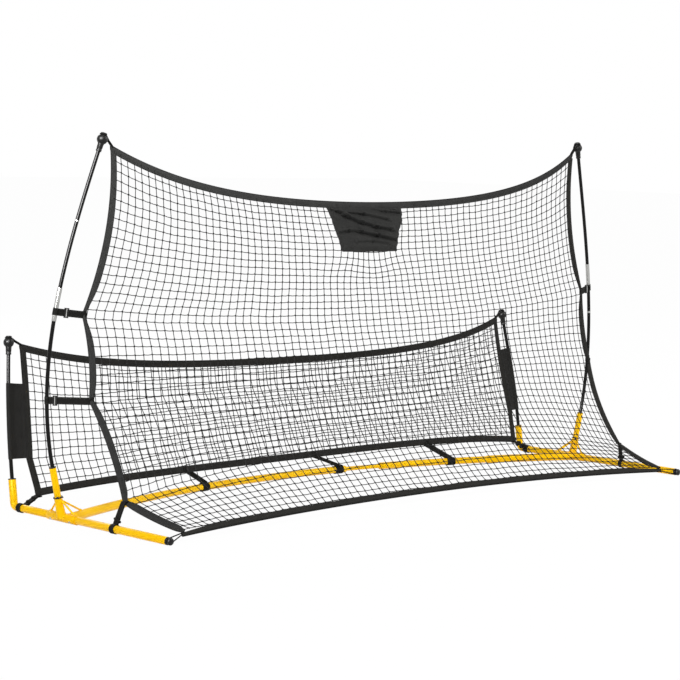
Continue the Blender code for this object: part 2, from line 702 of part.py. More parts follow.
def glide(name, mesh, centre, axis, target, distance, inside):
    """A tri-glide on a strap, a distance out from the pole, its open face to the ramp side."""
    reach = target - centre
    start = centre + (reach - axis * reach.dot(axis)).normalized() * leaves_at(inside)
    along = (target - start).normalized()
    side = axis.cross(along).normalized()
    if side.y > 0:
        side = -side
    obj = bpy.data.objects.new(name, mesh)
    obj.parent = hub_line
    turn = Matrix((along, side, along.cross(side))).transposed().to_4x4()
    obj.matrix_local = Matrix.Translation(start + along * (distance - leaves_at(inside))) @ turn
    bpy.context.scene.collection.objects.link(obj)


def corner_loop(name, centre, axis, groove, corner, width, clear):
    """Narrow loop from a net's corner round a cap's groove."""
    return strap(name, centre, axis, corner, groove, width, LOOP_SPREAD, 0, clear, BINDING)


def sewn_point(net, u, v, depth):
    """A point inside a binding, a depth in from the net's outer edge."""
    inward = down(net, u, min(max(v, 0.001), 0.999)).normalized() * (depth if v == 0 else -depth)
    return net(u, v) + inward


def nets(tall_poles, rear_poles):
    tall_grid = lattice(tall_net, NET_COLUMNS, row_shares(TALL_MARKS, NET_ROWS), HANG_GAP)
    low_grid = lattice(low_net, LOW_COLUMNS, row_shares(LOW_MARKS, LOW_ROWS))
    mesh_net("tall_net_mesh", tall_net, tall_grid)
    mesh_net("low_net_mesh", low_net, low_grid)
    tall_top = end_binding("tall_net_top_binding", tall_net, tall_grid, 0)
    tall_front = hanging_binding("tall_net_front_binding", tall_net, tall_grid)
    low_top = end_binding("low_net_top_binding", low_net, low_grid, 0)
    low_foot = end_binding("low_net_bottom_binding", low_net, low_grid, 1)

    groove_at = sum(CAP_GROOVE) / 2
    for label, side in SIDES:
        side_binding(f"tall_net_{label}_binding", tall_net, tall_grid, side)
        side_binding(f"low_net_{label}_binding", low_net, low_grid, side)
        for band, net, pole in ((tall_top, tall_net, tall_poles[side]), (low_top, low_net, rear_poles[side])):
            corner = sewn_point(net, side * CORNER_SHARE, 0, 0.006)
            loop = corner_loop(f"{band.name}_{label}_loop", pole.tip + pole.tip_axis * groove_at,
                               pole.tip_axis, CAP_GROOVE_D / 2, corner, 0.0030, CAP_BALL_D / 2)
            combine(band, loop, "UNION")
        cap_groove = skid_point(side, -FRONT_REACH - 0.0075)
        corner = tall_net(side * CORNER_SHARE, 1) + FOOT_FALL / 2
        loop = corner_loop(f"front_{label}_loop", cap_groove, Y, END_CAP_GROOVE_R, corner, 0.0030, END_CAP_D / 2 + 0.001)
        combine(tall_front, loop, "UNION")

    for i, (share, sewn_share) in enumerate(CROSSBAR_LOOPS):
        centre, axis = on_crossbar(share * HALF)
        sewn = sewn_point(low_net, sewn_share * HALF / LOW_BOTTOM.x, 1, 0.008)
        loop = strap(f"crossbar_loop_{i}", centre, axis, sewn, TUBE_R, WEB_W, LOOP_SPREAD, short=0)
        combine(low_foot, loop, "UNION")


def target_patch():
    """Plain trapezoid of cloth in front of the mesh, under the top binding."""
    columns, rows = 8, 5
    drop = PATCH_H / down(tall_net, 0, PATCH_LEVEL).length
    grid = []
    for r in range(rows + 1):
        share = r / rows
        half = (PATCH_TOP + (PATCH_BOTTOM - PATCH_TOP) * share) / 2
        line = []
        for c in range(columns + 1):
            u = (mixed(*PATCH_X, share) + half * (2 * c / columns - 1)) / NET_TOP.x
            first = (BINDING_W + SEAM) / down(tall_net, u, 0.001).length
            v = first + drop * share
            facing = across(tall_net, u, v).cross(down(tall_net, u, v)).normalized()
            facing = facing if facing.y < 0 else -facing
            ripple = (CLOTH + PATCH_CLOTH) / 2 + FIT + 0.0012 * share * (1 + sin(9 * share + 5 * c))
            line.append(tall_net(u, v) + facing * ripple)
        grid.append(line)
    sheet("target_patch", grid, PATCH_CLOTH, FABRIC)


def straps(tall_poles, rear_poles):
    glide_shape = glide_mesh()
    for label, side in SIDES:
        pole = tall_poles[side]
        holds = (("upper", STRAP_HIGH_Z, NET_STRAP_HIGH, FERRULE_D / 2, STRAP_HIGH_REST),
                 ("lower", STRAP_LOW_Z, NET_STRAP_LOW, POLE_R, STRAP_LOW_REST))
        for place, height, hold, inside, rest in holds:
            centre, axis = pole.at(height)
            target = mirrored(hold, side)
            strap(f"{label}_{place}_strap", centre, axis, target, inside, WEB_W, WEB_SPREAD)
            glide(f"{label}_{place}_glide", glide_shape, centre, axis, target, rest, inside)
        knee = mirrored(NET_KNEE, side)
        strap(f"{label}_skid_strap", skid_point(side, SKID_STRAP_Y), Y, knee, TUBE_R, WEB_W * 0.9,
              LOOP_SPREAD, short=0.003)
        corner = mirrored(LOW_BOTTOM, side)
        strap(f"{label}_rear_corner_strap", skid_point(side, REAR_STRAP_Y), Y, corner, TUBE_R,
              WEB_W * 0.8, LOOP_SPREAD, short=0.003)
        side_panel(label, side, rear_poles[side])


def side_panel(label, side, pole):
    """Fabric doubled round the rear pole and sewn to the low net's side binding."""
    heights = [PANEL_Z[0], *[p.z for p in pole.points if PANEL_Z[0] < p.z < PANEL_Z[1]], PANEL_Z[1]]
    radius = POLE_R + WEB_EASE + 0.0003 + PANEL_CLOTH / 2
    rows = []
    for z in heights:
        centre, axis = pole.at(z)
        edge = low_edge(LOW_MARKS[1] * (z - LOW_TOP.z) / (LOW_PANEL.z - LOW_TOP.z))
        target = Vector((side * edge.x, edge.y, z))
        target -= (target - centre).normalized() * SEAM
        rows.append(doubled(centre, axis, target, radius, 0.0009, radius * 1.2))
    sheet(f"{label}_side_panel", rows, PANEL_CLOTH, FABRIC)


tall_poles = {side: tall_pole(side) for _, side in SIDES}
rear_poles = {side: rear_pole(side) for _, side in SIDES}
for label, side in SIDES:
    front_hole = button_hole(label + "_front_button", side, -BUTTON_FRONT)
    rear_hole = button_hole(label + "_rear_button", side, BUTTON_REAR)
    hub(label, side, tall_poles[side], (front_hole, rear_hole))
    front_arm(label, side, front_hole)
    rear_arm(label, side, rear_poles[side], rear_hole)
    snap_button(label + "_front_button", side, -BUTTON_FRONT)
    snap_button(label + "_rear_button", side, BUTTON_REAR)
    tall_upright(label, tall_poles[side])
    rear_upright(label, rear_poles[side])
crossbar()
nets(tall_poles, rear_poles)
target_patch()
straps(tall_poles, rear_poles)
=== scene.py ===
"""Two-sided rebound net: looks, materials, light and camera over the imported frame.

Metres, +Z up, X across the net, -Y the side of the tall net's ramp. The tubes, poles and
fittings are modelled piece by piece, the nets are knotted twine between folded tape, and
each piece rides on the body of the frame piece that it stands for.
"""
from math import asin, cos, exp, pi, radians, sin

import bmesh
import bpy
import numpy as np
from mathutils import Matrix, Vector, noise


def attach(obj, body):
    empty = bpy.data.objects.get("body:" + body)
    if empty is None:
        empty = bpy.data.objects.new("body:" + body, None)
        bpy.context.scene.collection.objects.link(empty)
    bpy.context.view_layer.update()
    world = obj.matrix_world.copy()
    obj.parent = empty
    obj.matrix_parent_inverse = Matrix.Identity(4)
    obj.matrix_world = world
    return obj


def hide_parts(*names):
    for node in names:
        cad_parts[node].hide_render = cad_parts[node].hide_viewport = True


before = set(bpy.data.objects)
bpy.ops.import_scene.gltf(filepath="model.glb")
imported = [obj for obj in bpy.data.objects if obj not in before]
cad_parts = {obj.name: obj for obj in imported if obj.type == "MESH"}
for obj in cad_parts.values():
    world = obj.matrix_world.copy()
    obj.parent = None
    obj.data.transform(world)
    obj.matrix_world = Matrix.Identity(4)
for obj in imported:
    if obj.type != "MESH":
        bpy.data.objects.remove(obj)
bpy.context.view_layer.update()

BODY = "frame_and_nets"
Y, Z = Vector((0, 1, 0)), Vector((0, 0, 1))
SIDES = (("left", -1), ("right", 1))
WHITE = (1, 1, 1, 1)
bpy.ops.object.select_all(action="DESELECT")
noise.seed_set(7)


# Camera, as the photograph was taken

SHOT_FROM = Vector((-5.006, -5.0148, 1.113))
YAW, PITCH, ROLL = radians(44.3635), radians(5.262), radians(1.54)
FOCAL_PX, FRAME_PX, SENSOR_MM = 2338.6, 680, 36
look = Vector((sin(YAW) * cos(PITCH), cos(YAW) * cos(PITCH), -sin(PITCH)))
level = Vector((cos(YAW), -sin(YAW), 0))
upright = level.cross(look)
right = level * cos(ROLL) + upright * sin(ROLL)
up = upright * cos(ROLL) - level * sin(ROLL)
bpy.ops.object.camera_add(location=SHOT_FROM)
camera = bpy.context.object
camera.rotation_euler = Matrix((right, up, -look)).transposed().to_euler()
camera.data.sensor_width = SENSOR_MM
camera.data.lens = FOCAL_PX / FRAME_PX * SENSOR_MM
camera.data.clip_end = 100
bpy.context.scene.camera = camera


# Finishes

def operator(operation, reflected=False):
    def applied(self, other):
        return self.maths(operation, *((other, self) if reflected else (self, other)))
    return applied


class Value:
    """A shader value; arithmetic on it adds its own Math nodes."""

    def __init__(self, tree, socket):
        self.tree, self.socket = tree, socket

    def maths(self, operation, a, b=0.0):
        return self.tree.node("ShaderNodeMath", {"operation": operation}, {0: a, 1: b})

    __add__ = __radd__ = operator("ADD")
    __mul__ = __rmul__ = operator("MULTIPLY")
    __sub__, __rsub__ = operator("SUBTRACT"), operator("SUBTRACT", reflected=True)
    __truediv__, __mod__ = operator("DIVIDE"), operator("FLOORED_MODULO")
    __lt__ = operator("LESS_THAN")

    def wave(self):
        """A sine from 0 to 1, with one turn for each whole number."""
        return self.maths("SINE", self * (2 * pi)) * 0.5 + 0.5

    def clamped(self):
        return self.tree.node("ShaderNodeClamp", {}, {0: self})

    def near(self, middle, width):
        """1 at the middle value, falling to 0 at the width from it."""
        return (1 - self.maths("ABSOLUTE", self - middle) / width).clamped()


class Tree:
    """A tree of shader nodes, whose sockets take numbers or Values."""

    def __init__(self, tree):
        self.tree = tree

    def plug(self, socket, value):
        if isinstance(value, Value):
            self.tree.links.new(value.socket, socket)
        else:
            socket.default_value = value

    def node(self, kind, settings, sockets, out=0):
        node = self.tree.nodes.new(kind)
        for name, value in settings.items():
            setattr(node, name, value)
        for key, value in sockets.items():
            self.plug(node.inputs[key], value)
        return Value(self, node.outputs[out])

    def seen(self):
        """1 for the rays that come from the camera, or reach it by gloss or through glass."""
        rays = self.tree.nodes.new("ShaderNodeLightPath")
        camera, gloss, glass = [Value(self, rays.outputs[f"Is {kind} Ray"])
                                for kind in ("Camera", "Glossy", "Transmission")]
        return (camera + gloss + glass).clamped()


class Finish(Tree):
    """One material round a Principled shader."""

    def __init__(self, name, colour, roughness, **settings):
        self.material = bpy.data.materials.new(name)
        self.material.use_nodes = True
        self.material.diffuse_color = (*colour, 1)
        super().__init__(self.material.node_tree)
        self.shader = self.tree.nodes["Principled BSDF"]
        self.set(Base_Color=(*colour, 1), Roughness=roughness, **settings)
        self.slot = name

    def set(self, **sockets):
        for name, value in sockets.items():
            self.plug(self.shader.inputs[name.replace("_", " ")], value)

    def place(self):
        return self.node("ShaderNodeTexCoord", {}, {}, "Object")

    def cloth(self):
        """Metres along and across the piece's own cloth."""
        parts = self.tree.nodes.new("ShaderNodeSeparateXYZ")
        self.plug(parts.inputs[0], self.node("ShaderNodeTexCoord", {}, {}, "UV"))
        return Value(self, parts.outputs[0]), Value(self, parts.outputs[1])

    def stretched(self, scale):
        return self.node("ShaderNodeVectorMath", {"operation": "MULTIPLY"}, {0: self.place(), 1: scale})

    def grain(self, scale, detail=2.0, rough=0.5, at=None):
        sockets = {"Vector": at or self.place(), "Scale": scale, "Detail": detail, "Roughness": rough}
        return self.node("ShaderNodeTexNoise", {}, sockets)

    def tint(self, mask, low, high):
        """From the low colour to the high one; low may be a Value."""
        low = low if isinstance(low, Value) else (*low, 1)
        return self.node("ShaderNodeMix", {"data_type": "RGBA"}, {0: mask, 6: low, 7: (*high, 1)}, 2)

    def bump(self, height, distance, strength):
        sockets = {"Height": height, "Distance": distance, "Strength": strength}
        self.set(Normal=self.node("ShaderNodeBump", {}, sockets))


def grey(value):
    return value, value, value


def yellow_paint():
    """Gloss powder coat, with a faint orange peel and a little handling dust."""
    f = Finish("yellow_paint", (0.95, 0.53, 0.003), 0.3, Specular_IOR_Level=0.2,
               Specular_Tint=(1, 0.75, 0.15, 1))
    peel = f.grain(420, 2.0)
    cloud = f.grain(14, 3.0)
    dust = ((cloud - 0.52) * 5).clamped()
    f.set(Base_Color=f.tint(dust, (0.94, 0.54, 0.002), (0.88, 0.48, 0.003)),
          Roughness=peel * 0.1 + dust * 0.1 + 0.26)
    f.bump(peel, 0.0002, 0.35)
    return f


def black_fibreglass():
    """Pultruded rod: glossy black, a little cloudy along its length."""
    f = Finish("black_fibreglass", grey(0.006), 0.2, Specular_IOR_Level=0.13)
    cloud = f.grain(1.0, 2.0, 0.5, f.stretched((60, 60, 12)))
    f.set(Base_Color=f.tint(cloud, grey(0.003), (0.006, 0.0056, 0.005)),
          Roughness=cloud * 0.04 + 0.1)
    return f


def bright_steel():
    """Turned and plated steel, with rings of tool marks and duller patches."""
    f = Finish("bright_steel", (0.6, 0.6, 0.59), 0.25, Metallic=1.0)
    rings = f.grain(1.0, 2.0, 0.6, f.stretched((60, 60, 2600)))
    cloud = f.grain(60, 3.0)
    f.set(Base_Color=f.tint(cloud, (0.34, 0.34, 0.33), (0.54, 0.54, 0.52)),
          Roughness=rings * 0.08 + cloud * 0.05 + 0.07)
    f.bump(rings, 0.0001, 0.08)
    return f


def black_plastic():
    """Moulded polypropylene with a fine spark grain."""
    f = Finish("black_plastic", grey(0.008), 0.4, Specular_IOR_Level=0.2)
    grain = f.grain(1700, 2.0)
    cloud = f.grain(45, 2.0)
    f.set(Base_Color=f.tint(cloud, grey(0.005), (0.012, 0.012, 0.011)),
          Roughness=grain * 0.25 + 0.2)
    f.bump(grain, 0.0002, 0.5)
    return f


STITCH_R, STITCH_STEP, STITCH_SHARE = 0.00045, 0.0032, 0.74


def woven(name, dark, light, rib, ribs_across, roughness, stitches=(), slot=None, painted_shade_edges=(), painted_light_lean=None):
    """Cloth woven on its own UV map, with rows of stitching, painted shade along its edges, and painted light
    and shade leaning across it.

    rib and ribs_across are the weave's steps in metres, stitches are places across the cloth,
    the edge rows are places with their reach, darkened as painted shade where the tape folds and is sewn,
    and the lean is a direction along which the cloth is painted lighter, standing in for light and shade.
    """
    f = Finish(name, dark, roughness, Specular_IOR_Level=0.06)
    f.slot = slot or name
    along, across = f.cloth()
    warp = (across / ribs_across).wave()
    weft = (along / rib + warp * 0.5).wave()
    cloud = f.grain(38, 3.0)
    fuzz = f.grain(2200, 1.0)
    weave = warp * 0.45 + weft * 0.55
    height = weave + fuzz * 0.3
    shade = weave * 0.5 + cloud * 0.5
    # Painted light and shade: the cloth is made lighter along the lean's direction and darker against it.
    if painted_light_lean:
        dot = {"operation": "DOT_PRODUCT"}
        shade = shade + f.node("ShaderNodeVectorMath", dot, {0: f.place(), 1: painted_light_lean}, "Value") - 0.9 * painted_light_lean[2]
    colour = f.tint(shade.clamped(), dark, light)
    # Painted shade: the cloth is darkened along these rows, where the tape folds and is sewn.
    for row, reach in painted_shade_edges:
        colour = f.tint(across.near(row, reach) * 0.8, colour, [c * 0.35 for c in dark])
    if stitches:
        rows = [across.near(row, STITCH_R) for row in stitches]
        thread = (sum(rows) * (((along / STITCH_STEP) % 1.0) < STITCH_SHARE)).clamped()
        colour = f.tint(thread * 0.85, colour, (0.1, 0.1, 0.095))
        height = height + thread * 1.6
    f.set(Base_Color=colour, Roughness=cloud * 0.2 + roughness - 0.1)
    f.bump(height, 0.00035, 0.7)
    return f


def black_twine():
    """Three-ply twisted polyethylene twine."""
    f = Finish("black_twine", grey(0.008), 0.55, Specular_IOR_Level=0.08)
    along, turn = f.cloth()
    plies = (along / 0.0042 + turn * 3.0).wave()
    fuzz = f.grain(2600, 2.0)
    f.set(Base_Color=f.tint(plies * 0.6 + fuzz * 0.4, grey(0.002), (0.014, 0.014, 0.013)),
          Roughness=fuzz * 0.2 + 0.45)
    f.bump(plies + fuzz * 0.3, 0.0003, 0.8)
    return f


YELLOW = yellow_paint()
ROD = black_fibreglass()
STEEL = bright_steel()
PLASTIC = black_plastic()
WEBBING = woven("black_webbing", (0.002, 0.002, 0.0015), (0.0105, 0.01, 0.0085), 0.0011, 0.0022, 0.68,
                (0.0022, 0.0178))
# Rows across the tape darkened as painted shade at its fold and its sewn edges, with their reach.
PAINTED_SHADE_EDGES = ((0.0, 0.004), (0.0222, 0.005), (0.0444, 0.004))
# The tall net's tape is painted lighter to the left and higher up, and darker to the right and low down, as
# painted light and shade.
TAPE = woven("charcoal_binding", grey(0.008), (0.054, 0.054, 0.052), 0.0009, 0.003, 0.7,
             (0.003, 0.0414), None, PAINTED_SHADE_EDGES, (-0.24, 0, 0.5))
# A darker copy of the charcoal tape, as painted shade, for the low net and for the tall net's front and right
# side.
SHADED_TAPE = woven("shaded_charcoal_binding", (0.007, 0.0068, 0.006), (0.029, 0.028, 0.025), 0.0009, 0.003, 0.7,
                  (0.003, 0.0414), "charcoal_binding", PAINTED_SHADE_EDGES)
FABRIC = woven("black_fabric", grey(0.006), (0.041, 0.041, 0.039), 0.0008, 0.0008, 0.62)
# A darker copy of the black fabric, as painted shade, for the side panels.
SHADED_PANEL_CLOTH = woven("shaded_black_panel", grey(0.004), (0.021, 0.02, 0.018), 0.0008, 0.0008, 0.62,
                    (), "black_fabric")
TWINE = black_twine()


# Working with pieces

MERGED = 0.00001
CLOTH = 0.0007


def keep(obj, name, finish, stands_for=None, body=BODY):
    """Name a finished piece, give it its material and body, and hide the frame node that it stands for."""
    obj.name = obj.data.name = name
    obj.data.materials.clear()
    obj.data.materials.append(finish.material)
    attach(obj, body)
    if stands_for:
        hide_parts(stands_for)
    return obj


def pick(*pieces):
    """Select these pieces alone, the first of them active."""
    bpy.ops.object.select_all(action="DESELECT")
    for piece in pieces:
        piece.select_set(True)
    bpy.context.view_layer.objects.active = pieces[0]


def apply_modifiers(obj):
    pick(obj)
    for modifier in list(obj.modifiers):
        bpy.ops.object.modifier_apply(modifier=modifier.name)


def edit_all():
    """Go to edit mode with every face selected."""
    bpy.ops.object.mode_set(mode="EDIT")
    bpy.ops.mesh.select_mode(type="FACE")
    bpy.ops.mesh.select_all(action="SELECT")


def face_out(obj, sharp=None, merge=False):
    """Turn the faces outward and smooth them, apart from edges over the angle where one is given."""
    edit_all()
    if merge:
        bpy.ops.mesh.remove_doubles(threshold=MERGED)
    bpy.ops.mesh.normals_make_consistent(inside=False)
    bpy.ops.object.mode_set(mode="OBJECT")
    if sharp:
        bpy.ops.object.shade_smooth_by_angle(angle=radians(sharp))
    else:
        bpy.ops.object.shade_smooth()
    return obj


def settle(obj):
    """Apply a rigid piece's modifiers and its place."""
    apply_modifiers(obj)
    bpy.ops.object.transform_apply(location=True, rotation=True, scale=True)
    return face_out(obj, 35, merge=True)


def thicken(obj, thickness, offset=0):
    wall = obj.modifiers.new("wall", "SOLIDIFY")
    wall.thickness, wall.offset = thickness, offset


def soften(obj, width):
    edge = obj.modifiers.new("soften", "BEVEL")
    edge.width, edge.segments, edge.angle_limit = width, 2, radians(40)
    edge.harden_normals = False


def joined(parts):
    pick(*parts)
    bpy.ops.object.join()
    return parts[0]


def pipe(points, radius, wall=0.0, sides=28, radii=None, cyclic=False, depth=0.02):
    """Tube bent along points: a curve with a round bevel made a mesh, its ends inset to a wall."""
    bpy.ops.curve.primitive_bezier_curve_add()
    path = bpy.context.object
    path.data.splines.clear()
    spline = path.data.splines.new("POLY")
    spline.points.add(len(points) - 1)
    for i, (knot, p) in enumerate(zip(spline.points, points)):
        knot.co = (*p, 1)
        knot.radius = radii[i] if radii else 1
    spline.use_cyclic_u = cyclic
    path.data.dimensions = "3D"
    path.data.twist_mode = "MINIMUM"
    path.data.bevel_depth = radius
    path.data.bevel_resolution = sides // 2 - 2
    path.data.use_fill_caps = not cyclic
    bpy.ops.object.convert(target="MESH")
    tube = bpy.context.object
    if wall:
        edit_all()
        bpy.ops.mesh.remove_doubles(threshold=MERGED)
        bpy.ops.mesh.select_all(action="DESELECT")
        shape = bmesh.from_edit_mesh(tube.data)
        for face in shape.faces:
            face.select = len(face.verts) > 4
        bmesh.update_edit_mesh(tube.data)
        bpy.ops.mesh.inset(thickness=wall)
        bpy.ops.mesh.extrude_region_shrink_fatten(TRANSFORM_OT_shrink_fatten={"value": -depth})
        bpy.ops.object.mode_set(mode="OBJECT")
        soften(tube, min(wall * 0.3, 0.0004))
    return settle(tube)


def disc(radius, sides):
    """A flat disc in edit mode, all selected, from which a turned piece or ring is made."""
    bpy.ops.mesh.primitive_circle_add(vertices=sides, radius=radius, fill_type="NGON", location=(0, 0, 0))
    edit_all()
    return bpy.context.object


def stood(piece, foot, axis, soft):
    """Stand a piece made along Z at its foot, along its axis, with its edges softened."""
    piece.location = foot
    piece.rotation_euler = axis.normalized().to_track_quat("Z", "Y").to_euler()
    if soft:
        soften(piece, soft)
    return settle(piece)


def turned(foot, axis, profile, sides=32, soft=0.0003):
    """Turned piece: a disc extruded and resized along its axis, by (distance, radius) rows."""
    first, radius = profile[0]
    piece = disc(radius, sides)
    bpy.ops.transform.translate(value=(0, 0, first))
    for distance, wide in profile[1:]:
        bpy.ops.mesh.extrude_region_move(TRANSFORM_OT_translate={"value": (0, 0, distance - first)})
        share = wide / radius
        if share != 1:
            bpy.ops.transform.resize(value=(share, share, 1), center_override=(0, 0, distance))
        first, radius = distance, wide
    bpy.ops.object.mode_set(mode="OBJECT")
    return stood(piece, foot, axis, soft)


def collar(foot, axis, inner, outer, height, soft):
    """A ring cut from a disc: inset, the middle taken out, and given its height."""
    piece = disc(outer, 36)
    bpy.ops.mesh.inset(thickness=outer - inner)
    bpy.ops.mesh.delete(type="FACE")
    bpy.ops.object.mode_set(mode="OBJECT")
    thicken(piece, height, -1 if piece.data.polygons[0].normal.z < 0 else 1)
    return stood(piece, foot, axis, soft)


def table(points):
    return np.array([tuple(p) for p in points], float)


def lengths_on(points, axis=0):
    """Metres from the first point on to each, along one axis of a line or grid of points."""
    steps = np.linalg.norm(np.diff(points, axis=axis), axis=-1)
    if points.ndim == 3:
        steps = steps.mean(1 - axis)
    return np.concatenate([[0], np.cumsum(steps)])


def woven_mesh(points, faces, marks):
    """A mesh piece with a UV map in metres of its own cloth or twine."""
    mesh = bpy.data.meshes.new("cloth")
    mesh.from_pydata(points.tolist(), [], faces)
    mesh.uv_layers.new(name="cloth").data.foreach_set("uv", marks.astype(np.float32).ravel())
    obj = bpy.data.objects.new("cloth", mesh)
    bpy.context.scene.collection.objects.link(obj)
    pick(obj)
    return obj


def cloth_piece(rows, thickness=CLOTH, along=None):
    """A sheet through rows of points, with its thickness and metres along and across it."""
    points = np.array([table(row) for row in rows])
    count, width = points.shape[:2]
    index = np.arange(count * width).reshape(count, width)
    quads = np.stack([index[:-1, :-1], index[:-1, 1:], index[1:, 1:], index[1:, :-1]], -1).reshape(-1, 4)
    along = lengths_on(points) if along is None else along
    grid = np.stack(np.meshgrid(along, lengths_on(points, 1), indexing="ij"), -1).reshape(-1, 2)
    obj = woven_mesh(points.reshape(-1, 3), quads.tolist(), grid[quads.reshape(-1)])
    thicken(obj, thickness)
    apply_modifiers(obj)
    return face_out(obj, 50)


# Lines and directions

def clamp(value):
    return max(0.0, min(1.0, value))


def mixed(a, b, share):
    return a + (b - a) * share


def shares(count):
    return [i / count for i in range(count + 1)]


def line(a, b, count):
    return [mixed(a, b, t) for t in shares(count)]


def full_turn(count):
    return [2 * pi * i / count for i in range(count)]


def arc(centre, out, flank, radius, turns):
    return [centre + (out * cos(t) + flank * sin(t)) * radius for t in turns]


def square_to(direction, axis):
    """What a direction has at right angles to an axis."""
    return direction - axis * direction.dot(axis)


def mirrored(point, side):
    return Vector((side * point.x, point.y, point.z))


def hermite(a, b, leave, arrive, count):
    return [a * (2 * t ** 3 - 3 * t ** 2 + 1) + leave * (t ** 3 - 2 * t ** 2 + t)
            + b * (3 * t ** 2 - 2 * t ** 3) + arrive * (t ** 3 - t ** 2) for t in shares(count)]


# Where the frame's lines run, from the same sizes as the frame

HUB_Y = 0.0702
HALF = 1.08
FRONT_REACH, REAR_REACH = 0.443, 0.229
SLEEVE_R, TUBE_R, POLE_R = 0.013, 0.011, 0.0055
SKID_Z = 0.01267
CROSSBAR_BOW, CROSSBAR_FOOT = 0.225, -0.018
LEG_TOP_Z, SOCKET_TOP_Z, REAR_TOP_Z = 0.07, 0.155, 0.088
LEG_R, LEG_FOOT_R = 0.0114, 0.01425
ELBOW_R = 0.0135
TUBE_WALL = 0.0012
STUB_END_X = 0.77


def skid_point(side, y):
    return Vector((side * HALF, HUB_Y + y, SKID_Z))


def crossbar_point(x):
    return Vector((x, HUB_Y + CROSSBAR_BOW + (CROSSBAR_FOOT - CROSSBAR_BOW) * (x / HALF) ** 2, SKID_Z))


def crossbar_run(x_from, x_to, step=0.03):
    count = max(2, round(abs(x_to - x_from) / step))
    return [crossbar_point(x) for x in line(x_from, x_to, count)]


class Pole:
    """Straight in its socket, then flexed to its tip."""

    def __init__(self, foot, slope, mouth_z, tip, tip_slope):
        self.foot, self.axis = foot, slope.normalized()
        start, rise = foot + slope * (mouth_z - foot.z), tip.z - mouth_z
        self.points = [foot] + hermite(start, tip, slope * rise, tip_slope * rise, 44)
        self.tip, self.tip_axis = tip, (self.points[-1] - self.points[-2]).normalized()

    def at(self, z):
        for a, b in zip(self.points, self.points[1:]):
            if z <= b.z or b is self.points[-1]:
                return mixed(a, b, (z - a.z) / (b.z - a.z)), (b - a).normalized()

    def run(self, z_from, z_to):
        inner = [p for p in self.points if z_from + 0.001 < p.z < z_to - 0.001]
        return [self.at(z_from)[0], *inner, self.at(z_to)[0]]


TALL_TIP = Vector((HALF - 0.076, HUB_Y - 0.045, 1.056))
REAR_TIP = Vector((HALF - 0.03, HUB_Y + 0.307, 0.471))
TALL, REAR = {}, {}
for label, side in SIDES:
    TALL[side] = Pole(Vector((side * (HALF + 0.0075), HUB_Y, SKID_Z)), Vector((side * 0.24, 0, 1)),
                      SOCKET_TOP_Z, mirrored(TALL_TIP, side), Vector((side * -0.31, -0.1, 1)))
    REAR[side] = Pole(skid_point(side, REAR_REACH), Vector((0, 0.155, 1)), REAR_TOP_Z,
                      mirrored(REAR_TIP, side), Vector((side * -0.13, 0.17, 1)))


# Tube base

WELD_R, LOWEST_WELD_Z = 0.0015, 0.0022
BRACE_R, BRACE_OUT, LEG_RING_R = 0.0027, 0.0108, 0.0131


def weld(ring, radius=WELD_R):
    """A bead of weld round a ring of points, with its ripples."""
    radii = [1 + 0.22 * sin(i * 2.1) + 0.12 * sin(i * 0.7) for i in range(len(ring))]
    return pipe(ring, radius, sides=8, radii=radii, cyclic=True)


def round_about(centre, axis, radius, count=40):
    out = axis.orthogonal().normalized()
    return arc(centre, out, axis.cross(out).normalized(), radius, full_turn(count))


def dropped(ring, direction, target, level_z):
    """The ring's points moved on along a direction until they meet a piece, or else a level."""
    found = []
    for p in ring:
        hit, place, _, _ = target.ray_cast(p, direction)
        if not hit:
            place = p + direction * ((level_z - p.z) / direction.z)
        found.append(Vector((place.x, place.y, max(place.z, LOWEST_WELD_Z))))
    return found


def hub(label, side):
    """Sleeve, crossbar stub, leg and three brace rods, welded together."""
    pole = TALL[side]
    stub_r, wall, depth = SLEEVE_R - 0.0002, 0.0017, 0.012
    sleeve = pipe([skid_point(side, -0.06), skid_point(side, 0.066)], SLEEVE_R, wall, 40, depth=depth)
    stub = pipe(crossbar_run(side * (HALF - 0.004), side * STUB_END_X), stub_r, wall, 36, depth=depth)
    top = pole.at(LEG_TOP_Z)[0]
    flare = [1 + (LEG_FOOT_R / LEG_R - 1) * max(0.0, 1 - i / 9) for i in range(16)]
    leg = pipe(line(pole.foot + pole.axis * 0.001, top, 15), LEG_R, 0.0016, 36, flare, depth=0.003)
    mouth = crossbar_point(side * (HALF - 0.03))
    run = (crossbar_point(side * HALF) - mouth).normalized()
    leg_ring = round_about(pole.at(0.05)[0], pole.axis, LEG_RING_R)
    beads = [weld(dropped(leg_ring, -pole.axis, sleeve, SKID_Z + 0.001)),
             weld(dropped(round_about(mouth, run, stub_r), run, sleeve, SKID_Z))]
    head = mixed(pole.foot, top, 0.86)
    braces = []
    for target in (skid_point(side, -0.047), skid_point(side, 0.057), crossbar_point(side * (HALF - 0.068))):
        end = target + Z * (SLEEVE_R - 0.0004)
        start = head + square_to(end - head, Z).normalized() * BRACE_OUT
        braces.append(pipe([start, end], BRACE_R, sides=16))
        along = (end - start).normalized()
        beads.append(weld(round_about(start + along * 0.0012, along, BRACE_R - 0.0002, 14), 0.0011))
        beads.append(weld(round_about(end - along * 0.0012, along, BRACE_R, 14), 0.0012))
    keep(joined([sleeve, stub, leg, *braces, *beads]), label + "_welded_hub", YELLOW, label + "_hub")


def tube(name, points, stands_for):
    keep(pipe(points, TUBE_R, TUBE_WALL), name, YELLOW, stands_for)


